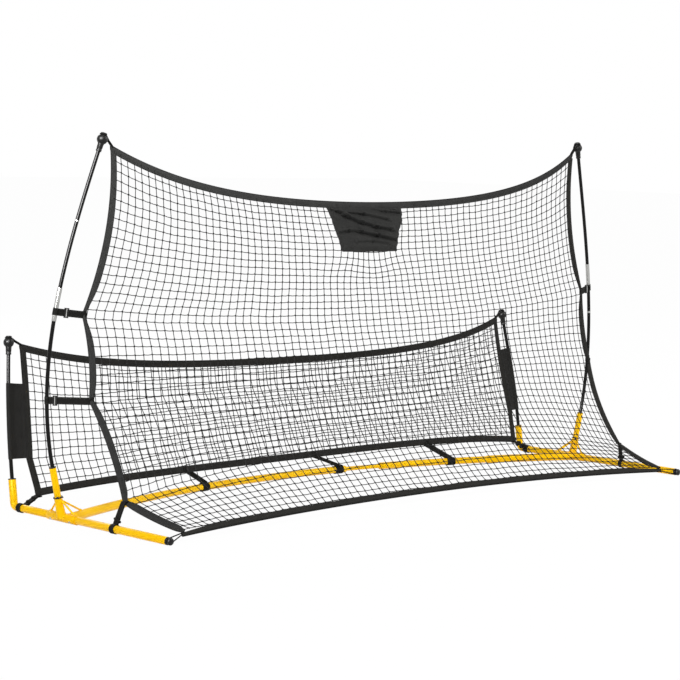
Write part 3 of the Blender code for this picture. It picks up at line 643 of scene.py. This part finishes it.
for label, side in SIDES:
    hub(label, side)
    tip = skid_point(side, -FRONT_REACH)
    tube(label + "_front_tube", [skid_point(side, -0.01), tip], label + "_front_arm")
    cap = turned(tip, -Y, [(-0.018, 0.0085), (-0.016, 0.0095), (0.0003, 0.0095), (0.0003, 0.0106),
                           (0.0012, 0.011), (0.004, 0.0108), (0.0052, 0.0068), (0.0095, 0.0068),
                           (0.0105, 0.0098), (0.0135, 0.0104), (0.0158, 0.0094), (0.0174, 0.007),
                           (0.0182, 0.0038)])
    keep(cap, label + "_front_end_cap", PLASTIC, label + "_front_cap")

    pole = REAR[side]
    turn = Y.angle(pole.axis)
    setback = ELBOW_R * sin(turn / 2) / cos(turn / 2)
    bend = arc(pole.foot - Y * setback + Z * ELBOW_R, -Z, Y, ELBOW_R, line(0, turn, 10))
    tube(label + "_rear_tube", [skid_point(side, 0.01), *bend, pole.at(REAR_TOP_Z)[0]], label + "_rear_arm")

tube("left_bowed_bar", crossbar_run(-STUB_END_X - 0.06, 0.215), "left_crossbar_tube")
tube("right_bowed_bar", crossbar_run(0.357, STUB_END_X + 0.06), "right_crossbar_tube")
INSERT_R, SHOULDER_R, NECK_R = 0.0093, 0.008, 0.00675
neck = crossbar_run(0.165, 0.407, 0.006)
radii = [NECK_R if 0.219 < p.x < 0.353 else SHOULDER_R if 0.213 < p.x < 0.359 else INSERT_R for p in neck]
keep(pipe(neck, 1.0, radii=radii), "crossbar_swaged_joiner", YELLOW, "crossbar_joiner")


# Uprights and poles

SOCKET_R, FERRULE_R = 0.0095, 0.0066
ROD_FOOT_Z, JOINT_Z = 0.045, 0.604


def bushing(name, pole, mouth_z, bore, flange, stands_for):
    lip = turned(pole.at(mouth_z)[0], pole.axis,
                 [(-0.025, bore), (0.0002, bore), (0.0002, flange), (0.0022, flange),
                  (0.0034, flange - 0.0012), (0.0036, 0.0059)])
    keep(lip, name, PLASTIC, stands_for)


def ball_cap(name, pole, stands_for):
    """Ball end with a skirt over the pole and a groove for the corner loop."""
    ball = 0.0152
    rise = [(ball * sin(radians(d)), ball * cos(radians(d))) for d in (-54, -40, -25, -10, 5, 20, 33, 43)]
    cap = turned(pole.tip, pole.tip_axis,
                 [(-0.035, 0.0064), (-0.035, 0.0078), (-0.03, 0.008), (-0.029, 0.0074),
                  (-0.027, 0.0074), (-0.026, 0.008), (-0.015, 0.0084), *rise, (0.0106, 0.0066),
                  (0.0112, 0.0062), (0.015, 0.0062), (0.0155, 0.0086), (0.0163, 0.0088),
                  (0.0175, 0.0088), (0.0183, 0.0078), (0.0187, 0.006)])
    keep(cap, name, PLASTIC, stands_for)


def rod(name, pole, stands_for, z_from=ROD_FOOT_Z, z_to=None):
    """Fibreglass rod up to a height, or else to the pole's tip and on into its cap."""
    points = pole.run(z_from, z_to or pole.tip.z)
    if not z_to:
        points.append(pole.tip + pole.tip_axis * 0.004)
    keep(pipe(points, POLE_R, sides=24), name, ROD, stands_for)


for label, side in SIDES:
    pole = TALL[side]
    socket = pipe(pole.run(0.034, SOCKET_TOP_Z), SOCKET_R, TUBE_WALL)
    keep(socket, label + "_socket_tube", YELLOW, label + "_socket")
    place = pole.at(LEG_TOP_Z)[0] + pole.axis * 0.0003
    ring = collar(place, pole.axis, 0.0098, 0.0134, 0.0028, 0.0008)
    lugs = [turned(place + pole.axis * 0.0014 + out * 0.012, out,
                   [(-0.0015, lug * 0.7), (0.0, lug), (0.0018, lug), (0.0032, lug * 0.6)], 16)
            for out, lug in ((Vector((-0.72, -0.69, 0)), 0.0034), (Vector((0.715, -0.7, 0)), 0.0022))]
    keep(joined([ring, *lugs]), label + "_joint_collar", PLASTIC, label + "_collar")
    bushing(label + "_socket_bushing", pole, SOCKET_TOP_Z, 0.008, 0.01, label + "_bushing")
    rod(label + "_lower_rod", pole, label + "_lower_pole", z_to=JOINT_Z)
    rod(label + "_upper_rod", pole, label + "_upper_pole", JOINT_Z + 0.0005)
    rise = 0.008 * (1 + side)
    sleeve = pipe(pole.run(0.56 + rise, 0.65 + rise), FERRULE_R, 0.0007, 32, depth=0.002)
    keep(sleeve, label + "_steel_ferrule", STEEL, label + "_ferrule")
    # On the left rod the thin bright steel band stands in for a highlight seen on it; on the right it is a
    # white ring round the rod.
    band_z, deep = (0.502, 0.0034) if side > 0 else (0.833, 0.0012)
    band = pipe(pole.run(band_z - deep, band_z + deep), POLE_R + 0.0004, sides=24)
    keep(band, label + "_pole_band", STEEL)
    ball_cap(label + "_ball_cap", pole, label + "_tip_cap")

    pole = REAR[side]
    bushing(label + "_rear_socket_bushing", pole, REAR_TOP_Z, 0.0095, 0.0115, label + "_rear_bushing")
    rod(label + "_rear_rod", pole, label + "_rear_pole")
    ball_cap(label + "_rear_ball_cap", pole, label + "_rear_tip_cap")

    axis, stem = Vector((side * cos(radians(30)), 0, -sin(radians(30)))), 0.0033
    for node, y in ((label + "_front_button", -0.04), (label + "_rear_button", 0.045)):
        button = turned(skid_point(side, y), axis,
                        [(0.007, 0.0045), (0.0083, 0.0045), (0.0083, stem), (0.0132, stem),
                         (0.0144, stem * 0.93), (0.015, stem * 0.72), (0.0152, stem * 0.35)], 24, 0)
        keep(button, node + "_pin", STEEL, node, body=node)


# Nets: surfaces over (u, v), u from -1 to 1 across and v from 0 at the top to 1

class Net:
    """A net's surface, from the corners down its side and the depth of its middle.

    sags bow the side between its corners, belly is a depth and where it falls, and shape and
    sway, each at the top and the foot, give how the cloth turns to its sides and swings aside.
    """

    def __init__(self, corners, sags, mid_top, mid_foot, belly, shape, sway):
        self.corners, self.sags = corners, sags
        lengths = [(b - a).length for a, b in zip(corners, corners[1:])]
        self.marks = [sum(lengths[:i]) / sum(lengths) for i in range(len(corners))]
        self.mid_top, self.mid_foot = mid_top, mid_foot
        self.belly, self.shape, self.sway = belly, shape, sway

    def edge(self, v):
        marks = self.marks
        i = max(k for k in range(len(marks) - 1) if v >= marks[k] or k == 0)
        t = (v - marks[i]) / (marks[i + 1] - marks[i])
        return mixed(self.corners[i], self.corners[i + 1], t) + Vector(self.sags[i]) * 4 * t * (1 - t)

    def __call__(self, u, v):
        side = self.edge(v)
        plain = mixed(self.corners[0].x, self.corners[-1].x, v)
        flat = mixed(*self.shape, v)
        out = flat * u ** 2 + (1 - flat) * u ** 4
        aside = mixed(*self.sway, v) * 2.6 * u * (1 - u ** 2)
        y = mixed(self.mid_top.y, self.mid_foot.y, v) + self.belly[0] * sin(pi * max(v, 0.0) ** self.belly[1])
        z = mixed(self.mid_top.z, self.mid_foot.z, v)
        return Vector((u * (plain + (side.x - plain) * u ** 4), y + (side.y - y) * out + aside,
                       z + (side.z - z) * out))

    def across(self, u, v):
        return (self(u + 0.001, v) - self(u - 0.001, v)) / 0.002

    def down(self, u, v):
        return (self(u, v + 0.001) - self(u, v - 0.001)) / 0.002

    def facing(self, u, v):
        """The side of the cloth towards the ramp."""
        normal = self.across(u, v).cross(self.down(u, v)).normalized()
        return normal if normal.y < 0 else -normal


STRAP_HIGH_Z, STRAP_LOW_Z = 0.586, 0.343
STRAP_HIGH = TALL[1].at(STRAP_HIGH_Z)[0] + Vector((-0.0683, -0.0287, -0.009))
STRAP_LOW = TALL[1].at(STRAP_LOW_Z)[0] + Vector((-0.0833, -0.079, 0))
NET_TOP = TALL_TIP + Vector((-0.027, -0.001, -0.014))
NET_KNEE = Vector((HALF - 0.0237, HUB_Y - 0.2285, 0.0824))
NET_FRONT = Vector((HALF - 0.0597, HUB_Y + 0.0224 - FRONT_REACH, 0.0315))
tall = Net([NET_TOP, STRAP_HIGH, STRAP_LOW, NET_KNEE, NET_FRONT],
           [(-0.034, 0, 0), (-0.0112, 0, 0), (-0.016, 0.0066, 0), (0, 0, -0.005)],
           NET_TOP + Vector((0, -0.0544, -0.1592)), NET_FRONT + Vector((0, 0.1025, 0.0084)),
           (0.06, 1.6), (0.59, 0.85), (-0.024, 0.01))
PANEL_Z = (0.145, 0.357)
LOW_TOP = REAR_TIP + Vector((-0.0343, -0.004, -0.004))
LOW_PANEL = Vector((HALF - 0.044, HUB_Y + REAR_REACH + 0.0054, PANEL_Z[0]))
LOW_BOTTOM = Vector((HALF - 0.056, HUB_Y + REAR_REACH - 0.0283, 0.0397))
low = Net([LOW_TOP, LOW_PANEL, LOW_BOTTOM], [(-0.0039, 0.0021, 0), (0, 0, 0)],
          LOW_TOP + Vector((0, -0.0406, -0.0853)), LOW_BOTTOM + Vector((0, -0.009, 0.026)),
          (0.012, 1), (0.38, 0), (-0.0185, 0.0132))

TAPE_W, TAPE_H, SIDE_TAPE_H = 0.021, 0.0012, 0.00112
FALL = Vector((0, -sin(radians(40)), -cos(radians(40))))
PATCH_TOP, PATCH_BOTTOM, PATCH_H = 0.297, 0.216, 0.13
PATCH_X = (-0.047, -0.041)


def near(value, middle, reach):
    return exp(-((value - middle) / reach) ** 2)


def patch_pull(x, d):
    """The sewn patch draws the mesh in at its lower corners and lets it bulge below."""
    left, right = PATCH_X[1] - PATCH_BOTTOM / 2, PATCH_X[1] + PATCH_BOTTOM / 2
    across = 0.026 * near(x, left - 0.012, 0.085) * near(d, 0.14, 0.062)
    across -= 0.014 * near(x, right + 0.012, 0.075) * near(d, 0.145, 0.05)
    fall = 0.015 * near(x, PATCH_X[1], 0.1) * near(d, 0.185, 0.045)
    return across, fall


def column_drift(share, down):
    """The tall net hangs with its columns set out to the right at the top and drawn in at the front."""
    return share * (1 - share) * (4.4 + 12.5 * share - 40 * share * down * down) / 73


MESH_IN = 0.012


def node_places(net, columns, rows, pull=None, drift=None, foot=MESH_IN):
    """The mesh's knots, evenly down each column and along each row as the twine's length gives."""
    us, vs = np.linspace(-1, 1, 121), np.linspace(0, 1, 81)
    spots = np.linspace(0, 1, 121)
    falls = np.array([lengths_on(table([net(u, v) for v in vs])) for u in us])
    grid = []
    for j in range(rows + 1):
        depths = MESH_IN + (falls[:, -1] - MESH_IN - foot) * j / rows
        level = np.array([np.interp(d, fall, vs) for d, fall in zip(depths, falls)])
        run = lengths_on(table([net(u, v) for u, v in zip(us, level)]))
        counted = spots + (drift(spots, j / rows) if drift else 0)
        knots = []
        for i in range(columns + 1):
            share = np.interp(i / columns, counted, spots)
            u = np.interp(MESH_IN + (run[-1] - 2 * MESH_IN) * share, run, us)
            v = np.interp(u, us, level)
            if pull:
                across, fall = pull(u * NET_TOP.x, np.interp(u, us, depths))
                u, v = u + across / NET_TOP.x, v + fall / net.down(u, v).length
            shift = noise.noise_vector(Vector((i * 0.31, j * 0.29, rows))) * 0.0026
            shift += noise.noise_vector(Vector((i * 1.7, j * 1.9, rows))) * 0.0013
            knots.append(net(u, v) + shift - net.facing(u, v) * shift.dot(net.facing(u, v)) * 0.5)
        grid.append(knots)
    return grid


def unit(directions):
    return directions / np.linalg.norm(directions, axis=1)[:, None]


def twine_mesh(lines, radius, sides=5):
    """Strands swept round each line of points, with metres along and turns round as UV."""
    points, faces, marks, start = [], [], [], 0
    turns = np.arange(sides + 1) / sides
    angle = 2 * pi * turns[None, :sides, None]
    for strand in lines:
        p = table(strand)
        run = unit(np.gradient(p, axis=0))
        a = unit(np.cross(run, (0.1, -1.0, 0.37)))
        b = np.cross(run, a)
        ring = p[:, None] + radius * (a[:, None] * np.cos(angle) + b[:, None] * np.sin(angle))
        points.append(ring.reshape(-1, 3))
        count = len(p)
        index = start + np.arange(count * sides).reshape(count, sides)
        after = np.roll(index, -1, axis=1)
        faces.append(np.stack([index[:-1], after[:-1], after[1:], index[1:]], -1).reshape(-1, 4))
        length = lengths_on(p)
        low_u, high_u = np.repeat(length[:-1], sides), np.repeat(length[1:], sides)
        low_v, high_v = np.tile(turns[:-1], count - 1), np.tile(turns[1:], count - 1)
        marks.append(np.stack([low_u, low_v, low_u, high_v, high_u, high_v, high_u, low_v], -1))
        start += count * sides
    faces = np.concatenate(faces).tolist()
    return face_out(woven_mesh(np.concatenate(points), faces, np.concatenate(marks)))


def strands(grid, slack=0.0009):
    """Twine along each row and column of knots, hanging a little between them."""
    lines = []
    for knots in [*grid, *zip(*grid)]:
        points = []
        for a, b in zip(knots, knots[1:]):
            middle = (a + b) / 2 - Z * slack * abs((b - a).normalized().x)
            middle += noise.noise_vector(a * 37.0) * 0.0006
            points += [a, middle]
        lines.append(points + [knots[-1]])
    return lines


def knot_mesh(grid, long=0.007, wide=0.0023, sides=6):
    """A small knot at each crossing: one tapered lump, copied."""
    base = [(-0.5, 0, 0), *[(s, r * cos(t), r * sin(t)) for s, r in ((-0.3, 0.8), (0, 1), (0.3, 0.8))
                            for t in full_turn(sides)], (0.5, 0, 0)]
    base = np.array(base, float) * (long, wide, wide)
    faces = []
    for a in range(1, sides + 1):
        b = a % sides + 1
        faces += [(0, b, a), (a, b, b + sides, a + sides),
                  (a + sides, b + sides, b + 2 * sides, a + 2 * sides),
                  (a + 2 * sides, b + 2 * sides, 1 + 3 * sides)]
    pattern = np.stack([base[:, 0], np.arctan2(base[:, 2], base[:, 1]) / (2 * pi)], -1)
    marks = pattern[[k for face in faces for k in face]]
    points, cells = [], []
    for j, row in enumerate(grid):
        for i, place in enumerate(row):
            beside = row[i + 1] - place if i + 1 < len(row) else place - row[i - 1]
            below = grid[j + 1][i] - place if j + 1 < len(grid) else place - grid[j - 1][i]
            beside, below = beside.normalized(), below.normalized()
            slant = (beside + below * (1 if (i + j) % 2 else -1)).normalized()
            out = beside.cross(below).normalized()
            cells += [[len(points) * len(base) + k for k in face] for face in faces]
            points.append(base @ np.array([slant, out.cross(slant), out]) + np.array(place))
    return face_out(woven_mesh(np.concatenate(points), cells, np.tile(marks, (len(points), 1))))


for word, radius, knots in (("tall", 0.00116, node_places(tall, 73, 46, patch_pull, column_drift, -0.004)),
                            ("low", 0.00124, node_places(low, 74, 17))):
    keep(twine_mesh(strands(knots), radius), word + "_net_twine", TWINE, word + "_net_mesh")
    keep(knot_mesh(knots), word + "_net_knots", TWINE)


# Bindings: tape folded over the edge of the mesh

def folded_tape(word, place, stations, finish=SHADED_TAPE, height=TAPE_H):
    """stations are (outer edge, inner edge, normal); the tape is a U in section, open inwards."""
    half = height - CLOTH / 2
    bend = [(half * (1 - sin(radians(d))), half * cos(radians(d))) for d in (0, 30, 60, 90)]
    leaf = [(TAPE_W, half), (TAPE_W - 0.0014, half * 0.96), (TAPE_W - 0.003, half * 0.7),
            (TAPE_W - 0.0046, half * 1.15), (0.0135, half * 2.2), (0.01, half * 2.7),
            (0.0065, half * 2.5), (0.003, half * 1.7), *bend]
    section = leaf + [(a, -b) for a, b in reversed(leaf[:-1])]
    rows = []
    for outer, inner, normal in stations:
        reach = (inner - outer).length / TAPE_W
        inward = (inner - outer).normalized()
        wave = noise.noise(outer * 23.0) * 0.0007 + noise.noise(outer * 71.0) * 0.0003
        rows.append([outer + inward * a * reach + normal * (b + wave * min(1, a / 0.006))
                     for a, b in section])
    tape = keep(cloth_piece(rows), f"{word}_net_{place}_tape", finish, f"{word}_net_{place}_binding")


def end_stations(net, v, count=190):
    """Along a net's top (v 0) or foot (v 1)."""
    found = []
    for u in line(-1, 1, count):
        inner = net(u, v + (1 - 2 * v) * TAPE_W / net.down(u, min(max(v, 0.001), 0.999)).length)
        found.append((net(u, v), inner, net.facing(u, v)))
    return found


def front_stations(net, count=190):
    """Along the tall net's front, where the tape hangs below the mesh and is gathered at its ends."""
    found = []
    for u in line(-1, 1, count):
        inner = net(u, 1) + net.down(u, 0.999).normalized() * 0.0018
        found.append((inner + FALL * TAPE_W * 0.92, inner + FALL * 0.007 * near(abs(u), 1, 0.09),
                      net.across(u, 0.999).cross(FALL).normalized()))
    return found


def side_stations(net, side, v_from, v_to, count, pinches=(), rolls=((0, 0), (1, 0))):
    """Down a net's side; the tape is gathered where it is held and rolls over by so many degrees."""
    places, degrees = zip(*rolls)
    found = []
    for v in line(v_from, v_to, count):
        width, roll = TAPE_W, radians(float(np.interp(v, places, degrees)))
        for place, reach, share in pinches:
            width *= 1 - share * near(v, place, reach)
        outer = net(side, v)
        inner = net(side * (1 - width / net.across(side, v).length), v)
        normal, middle, half = net.facing(side * 0.995, v), (outer + inner) / 2, (inner - outer) / 2
        inward = half.normalized()
        half = (inward * cos(roll) - normal * sin(roll)) * half.length
        found.append((middle - half, middle + half, normal * cos(roll) + inward * sin(roll)))
    return found


folded_tape("tall", "top", end_stations(tall, 0), TAPE)
folded_tape("low", "top", end_stations(low, 0))
folded_tape("low", "bottom", end_stations(low, 1))
folded_tape("tall", "front", front_stations(tall))
_, high, lower, knee, _ = tall.marks
for label, side in SIDES:
    held = (high, 0.04, 0.5), (lower, 0.025, 0.25), (knee, 0.015, 0.3), (1.01, 0.015, 0.45)
    hung, foot = 9 + 9 * side, -14 + 28 * side
    rolls = (0, hung), (lower, hung), (knee - 0.03, hung - 6), (knee + 0.03, foot), (1, foot)
    folded_tape("tall", label, side_stations(tall, side, 0.0165, 1.01, 150, held, rolls),
                TAPE if side < 0 else SHADED_TAPE, SIDE_TAPE_H)
    folded_tape("low", label, side_stations(low, side, 0.034, 0.966, 60), height=SIDE_TAPE_H)


# Target patch and side panels

CREASES = (((0.48, 0.02), (0.76, 0.1), (1.02, 0.17), 1.2), ((0.72, 0.0), (0.88, 0.05), (1.02, 0.09), 0.9),
           ((0.02, 0.05), (0.2, 0.22), (0.4, 0.36), 1.1), ((0.4, 0.36), (0.62, 0.46), (0.86, 0.53), 1.0),
           ((0.04, 0.6), (0.18, 0.55), (0.36, 0.56), 0.7), ((0.36, 0.58), (0.62, 0.65), (0.95, 0.76), 1.0),
           ((0.1, 0.13), (0.45, 0.17), (0.8, 0.3), 0.6), ((0.3, 0.8), (0.55, 0.79), (0.8, 0.84), 0.35))
PATCH_RUN, PATCH_DROP = 0.26, 0.13


def crease_depth(s, t):
    """Sharp folds that the patch's pull leaves, from its upper left to its lower right."""
    depth = 0.0
    for a, b, c, deep in CREASES:
        for start, end in ((a, b), (b, c)):
            run, rise = (end[0] - start[0]) * PATCH_RUN, (end[1] - start[1]) * PATCH_DROP
            x, y = (s - start[0]) * PATCH_RUN, (t - start[1]) * PATCH_DROP
            share = clamp((x * run + y * rise) / (run * run + rise * rise))
            away = ((x - share * run) ** 2 + (y - share * rise) ** 2) ** 0.5
            above = 1 if x * rise - y * run > 0 else -1
            depth += (near(away * above, 0.008, 0.0055) - 1.1 * near(away, 0, 0.0038)) * deep
    return depth


def patch():
    """Plain cloth sewn to the mesh under the top tape, creased by its own pull."""
    columns, count, seam = 180, 100, 0.0035
    drop = PATCH_H / tall.down(0, 0.1).length
    rows = []
    for share in shares(count):
        half = mixed(PATCH_TOP, PATCH_BOTTOM, share) / 2
        row = []
        for t in line(-1, 1, columns):
            ragged = 0.0035 * noise.noise(Vector((share * 9, 2.5 * (t > 0), 7))) * abs(t) ** 6
            ragged += 0.008 * near(share, 0.3, 0.16) * max(t, 0) ** 8 * (1 - 0.4 * near(share, 0.22, 0.04))
            x = mixed(*PATCH_X, share) + half * t + ragged
            u = x / NET_TOP.x
            v = (TAPE_W - seam) / tall.down(u, 0.001).length + (drop + seam / 1.1) * share
            lift = 0.0016 + 0.001 * min(1, share * 6)
            free = min(1, share * 9) * min(1, (1 - share) * 9) * min(1, (1 - abs(t)) * 12)
            soft = noise.noise(Vector((x * 16, share * 4, 1))) * 0.6
            depth = 0.0048 + 0.0062 * crease_depth((t + 1) / 2, share) + 0.0035 * soft
            row.append(tall(u, v) + tall.facing(u, v) * (lift + max(depth, -0.0004) * free))
        rows.append(row)
    sheet = cloth_piece(rows, along=np.linspace(0, PATCH_H, count + 1))
    keep(sheet, "target_patch_cloth", FABRIC, "target_patch")


def side_panel(label, side):
    """Fabric sleeve round the rear pole, sewn to the low net's side tape."""
    rows, depth, radius = [], 0.0, POLE_R + 0.001
    mouth = radius * 1.4
    for z in line(*PANEL_Z, 30):
        centre, axis = REAR[side].at(z)
        v = low.marks[1] * (z - LOW_TOP.z) / (LOW_PANEL.z - LOW_TOP.z)
        reach = square_to(mirrored(low.edge(v), side) - centre, axis)
        out, width = reach.normalized(), reach.length + 0.006
        depth = max(depth, width)
        flank = axis.cross(out)

        def leaf(x, way):
            free = clamp((x - mouth) / 0.01) * clamp((width - 0.004 - x) / 0.008)
            close = 0.0008 + (radius * 0.62 - 0.0008) * max(0.0, 1 - (x - mouth) / 0.012) ** 2
            if x > width - 0.01:
                close = 0.0017
            fold = noise.noise(Vector((x * 22, z * 30, side * 3.0))) * 0.0016 * free
            return centre + out * x + flank * (close * way + fold)

        rows.append([leaf(x, 1) for x in line(width, mouth, 16)]
                    + arc(centre, out, flank, radius, [radians(a) for a in range(50, 311, 20)])
                    + [leaf(x, -1) for x in line(mouth, width, 16)])
    panel = keep(cloth_piece(rows), label + "_sleeve_panel", SHADED_PANEL_CLOTH, label + "_side_panel")


patch()
for label, side in SIDES:
    side_panel(label, side)


# Webbing: straps doubled round a pole or tube and sewn to the net's tape

def strap(name, net, u, v, centre, axis, inside, width, spread, stands_for, thick=0.001, sewn=0.014,
          along=None, target=None):
    """Doubled strap from round a pole or tube to a point on the net's edge, and on along the tape."""
    radius = inside + 0.0003 + thick / 2
    target = target or net(u, v)
    out = square_to(target - centre, axis).normalized()
    flank = axis.cross(out)
    leave = centre + out * radius * 1.25
    inward = along or (net.across(u, v) * (-1 if u > 0 else 1)).normalized()
    edge = square_to(axis, inward).normalized()
    normal = edge.cross(inward).normalized()
    normal = normal if normal.dot(flank) > 0 else -normal
    start, hold = asin(min(0.95, spread / radius)), max(spread, 0.0019)
    turns = line(start, 2 * pi - start, 26)
    rows = []
    for w in line(-width / 2, width / 2, 6):
        ends = []
        for way in (1, -1):
            go, held = leave + flank * spread * way + axis * w, target + normal * hold * way + edge * w
            turn = (edge - axis) * w
            end = [mixed(go, held, t) - turn * (t - t ** 5) for t in shares(10)]
            ends.append(end + line(held, held + inward * sewn, 3)[1:])
        rows.append(ends[0][::-1] + arc(centre + axis * w, out, flank, radius, turns) + ends[1])
    keep(cloth_piece(zip(*rows), thick), name, WEBBING, stands_for)


def wrap(name, place, run, face, wide, radius, stands_for, tail, thick=0.01):
    """The strap's own end turned once round it, with what is left of it hanging on."""
    run = run.normalized()
    edge = run.cross(face).normalized()
    out = edge.cross(run)
    ring = [place + edge * wide / 2 * cos(t) + out * thick / 2 * sin(t) + run * 0.0022 * cos(t + 0.6)
            for t in full_turn(28)]
    parts = [pipe(ring, radius, sides=10, cyclic=True)]
    if tail:
        parts.append(cloth_piece([[place + edge * (w + wide * 0.2 * t) + run * tail * t
                                   + out * (thick / 2 + 0.0012 * sin(pi * t))
                                   for w in line(-wide / 4, wide / 4, 4)] for t in shares(8)], 0.0011))
    keep(joined(parts), name, WEBBING, stands_for)


def cord_loop(name, centre, axis, groove, corner, stands_for, radius=0.0017, closed=0.0):
    """Round cord from a net's corner round a cap's groove and back, its runs together for a share."""
    reach = corner - centre
    out = square_to(reach, axis).normalized()
    flank = axis.cross(out)
    hold = groove + radius
    tangent = asin(min(1.0, hold / (reach.length + 0.001)))
    ring = arc(centre, out, flank, hold, line(pi / 2 - tangent, 3 * pi / 2 + tangent, 20))
    fork = mixed(corner, (ring[0] + ring[-1]) / 2, closed)
    aside = flank * radius
    path = line(fork + aside, ring[0], 6)[:-1] + ring + line(ring[-1], fork - aside, 6)[1:]
    if closed:
        path = [corner + aside, *path, corner - aside]
    keep(pipe(path, radius, sides=10), name, WEBBING, stands_for)


POLE_STRAP_W, POLE_STRAP_GAP = 0.02, 0.002
CAP_GROOVE, CAP_GROOVE_R, FRONT_GROOVE, FRONT_GROOVE_R = 0.013, 0.0062, 0.0075, 0.0068
BAR_R, BAR_HALF, BAR_OUT = 0.0016, 0.0118, 0.0046
STRAPS = (("upper", STRAP_HIGH_Z, STRAP_HIGH, high, FERRULE_R, 0.03),
          ("lower", STRAP_LOW_Z, STRAP_LOW, lower, POLE_R, 0.022))
for label, side in SIDES:
    for place, z, _, v, inside, _ in STRAPS:
        strap(f"{label}_{place}_webbing", tall, side, v, *TALL[side].at(z), inside, POLE_STRAP_W,
              POLE_STRAP_GAP, f"{label}_{place}_strap")
    for name, net, v, y, width, spots in (
            ("skid", tall, knee, -0.222, 0.0155 - 0.0025 * side, ((0.25, 0.02, 0.0038, 0.018),)),
            ("rear_corner", low, 0.999, REAR_REACH - 0.033, 0.018,
             ((0.36, 0.019, 0.0034, 0.015), (0.7, 0.019, 0.0032, 0)))):
        ring, stands_for = skid_point(side, y), f"{label}_{name}_strap"
        strap(f"{label}_{name}_webbing", net, side, v, ring, Y, TUBE_R, width, 0.0016, stands_for, 0.0022)
        reach = net(side, v) - ring
        for i, (share, wide, radius, tail) in enumerate(spots):
            wrap(f"{label}_{name}_turn_{i + 1}", ring + reach * share + reach.normalized() * 0.006, reach,
                 Vector((-side, 0, 0.3)), wide, radius, stands_for, tail)
    for net, pole, word in ((tall, TALL[side], "tall"), (low, REAR[side], "low")):
        point = net(side * 0.992, 0) + net.down(side * 0.992, 0.001).normalized() * 0.004
        cord_loop(f"{word}_net_{label}_corner_loop", pole.tip + pole.tip_axis * CAP_GROOVE, pole.tip_axis,
                  CAP_GROOVE_R, point, f"{word}_net_top_binding", 0.0026, 0.55)
    cord_loop(f"front_{label}_cord_loop", skid_point(side, -FRONT_REACH - FRONT_GROOVE), Y, FRONT_GROOVE_R,
              tall(side * 0.992, 1) + FALL * TAPE_W / 2, "tall_net_front_binding")
for i, (share, sewn_share) in enumerate(((-0.374, -0.445), (0.1725, 0.048), (0.584, 0.533))):
    x, u = share * HALF, sewn_share * HALF / LOW_BOTTOM.x
    axis = (crossbar_point(x + 0.01) - crossbar_point(x - 0.01)).normalized()
    climb = -low.down(u, 0.999).normalized()
    strap(f"crossbar_loop_{i + 1}", low, u, 0.999, crossbar_point(x), axis, TUBE_R, 0.03, 0.0014,
          "low_net_bottom_binding", 0.0018, 0.01, climb, low(u, 1) + climb * 0.006)

for label, side in SIDES:
    for place, z, hold, _, inside, rest in STRAPS:
        glide = f"{label}_{place}_glide"
        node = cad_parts[glide]
        node.data.materials.clear()
        node.data.materials.append(PLASTIC.material)
        soften(node, 0.0004)
        centre, axis = TALL[side].at(z)
        leave = 1.2 * (inside + 0.0008)
        start = centre + square_to(mirrored(hold, side) - centre, axis).normalized() * leave
        along = (mirrored(hold, side) - start).normalized()
        out = axis.cross(along).normalized()
        out = out if out.y < 0 else -out
        # A bright steel bar across each glide, standing in for the highlight on the glide's middle bar.
        middle = start + along * (rest - leave) + out * BAR_OUT
        rise = along.cross(out) * BAR_HALF
        keep(pipe([middle - rise, middle + rise], BAR_R, sides=16), glide + "_bar", STEEL, body=glide)


# Floor, background and light

GLOW_SHARE, SKY_STRENGTH = 0.975, 0.42


def floor():
    """A pale floor that the camera sees nearly white, with the object's shadow left on it."""
    f = Finish("pale_floor", grey(0.93), 0.7, Specular_IOR_Level=0.1)
    glow = f.node("ShaderNodeEmission", {}, {"Color": WHITE, "Strength": 1.0})
    plain = Value(f, f.shader.outputs[0])
    lit = f.node("ShaderNodeMixShader", {}, {0: f.seen() * GLOW_SHARE, 1: plain, 2: glow})
    f.plug(f.tree.nodes["Material Output"].inputs["Surface"], lit)
    bpy.ops.mesh.primitive_plane_add(size=60, location=(0, 0, -0.0004))
    plane = bpy.context.object
    plane.name = "studio_floor"
    plane.data.materials.append(f.material)


def sky():
    """Soft light from all round, which the camera sees as white."""
    world = bpy.data.worlds.new("studio")
    bpy.context.scene.world = world
    world.use_nodes = True
    world.node_tree.nodes.clear()
    f = Tree(world.node_tree)
    soft = f.node("ShaderNodeBackground", {}, {"Color": WHITE, "Strength": SKY_STRENGTH})
    white = f.node("ShaderNodeBackground", {}, {"Color": WHITE})
    output = f.tree.nodes.new("ShaderNodeOutputWorld")
    f.plug(output.inputs["Surface"], f.node("ShaderNodeMixShader", {}, {0: f.seen(), 1: soft, 2: white}))


def lamp(name, location, width, height, power, gloss_only=False):
    bpy.ops.object.light_add(type="AREA", location=location)
    light = bpy.context.object
    light.name = name
    light.data.shape = "RECTANGLE"
    light.data.size, light.data.size_y, light.data.energy = width, height, power
    light.rotation_euler = (Vector((0, 0, 0.4)) - Vector(location)).to_track_quat("-Z", "Y").to_euler()
    light.visible_diffuse = not gloss_only


floor()
sky()
lamp("key", (-5.4, -5.4, 6.9), 3.3, 3.3, 530)
lamp("strip", (-5.6, -1.7, 2.75), 3.6, 2.2, 1400, True)
lamp("fill", (4.5, -4.0, 3.5), 3.0, 3.0, 220)
lamp("back", (1.0, 5.0, 4.0), 3.0, 3.0, 130)
bpy.context.scene.view_settings.view_transform = "Standard"
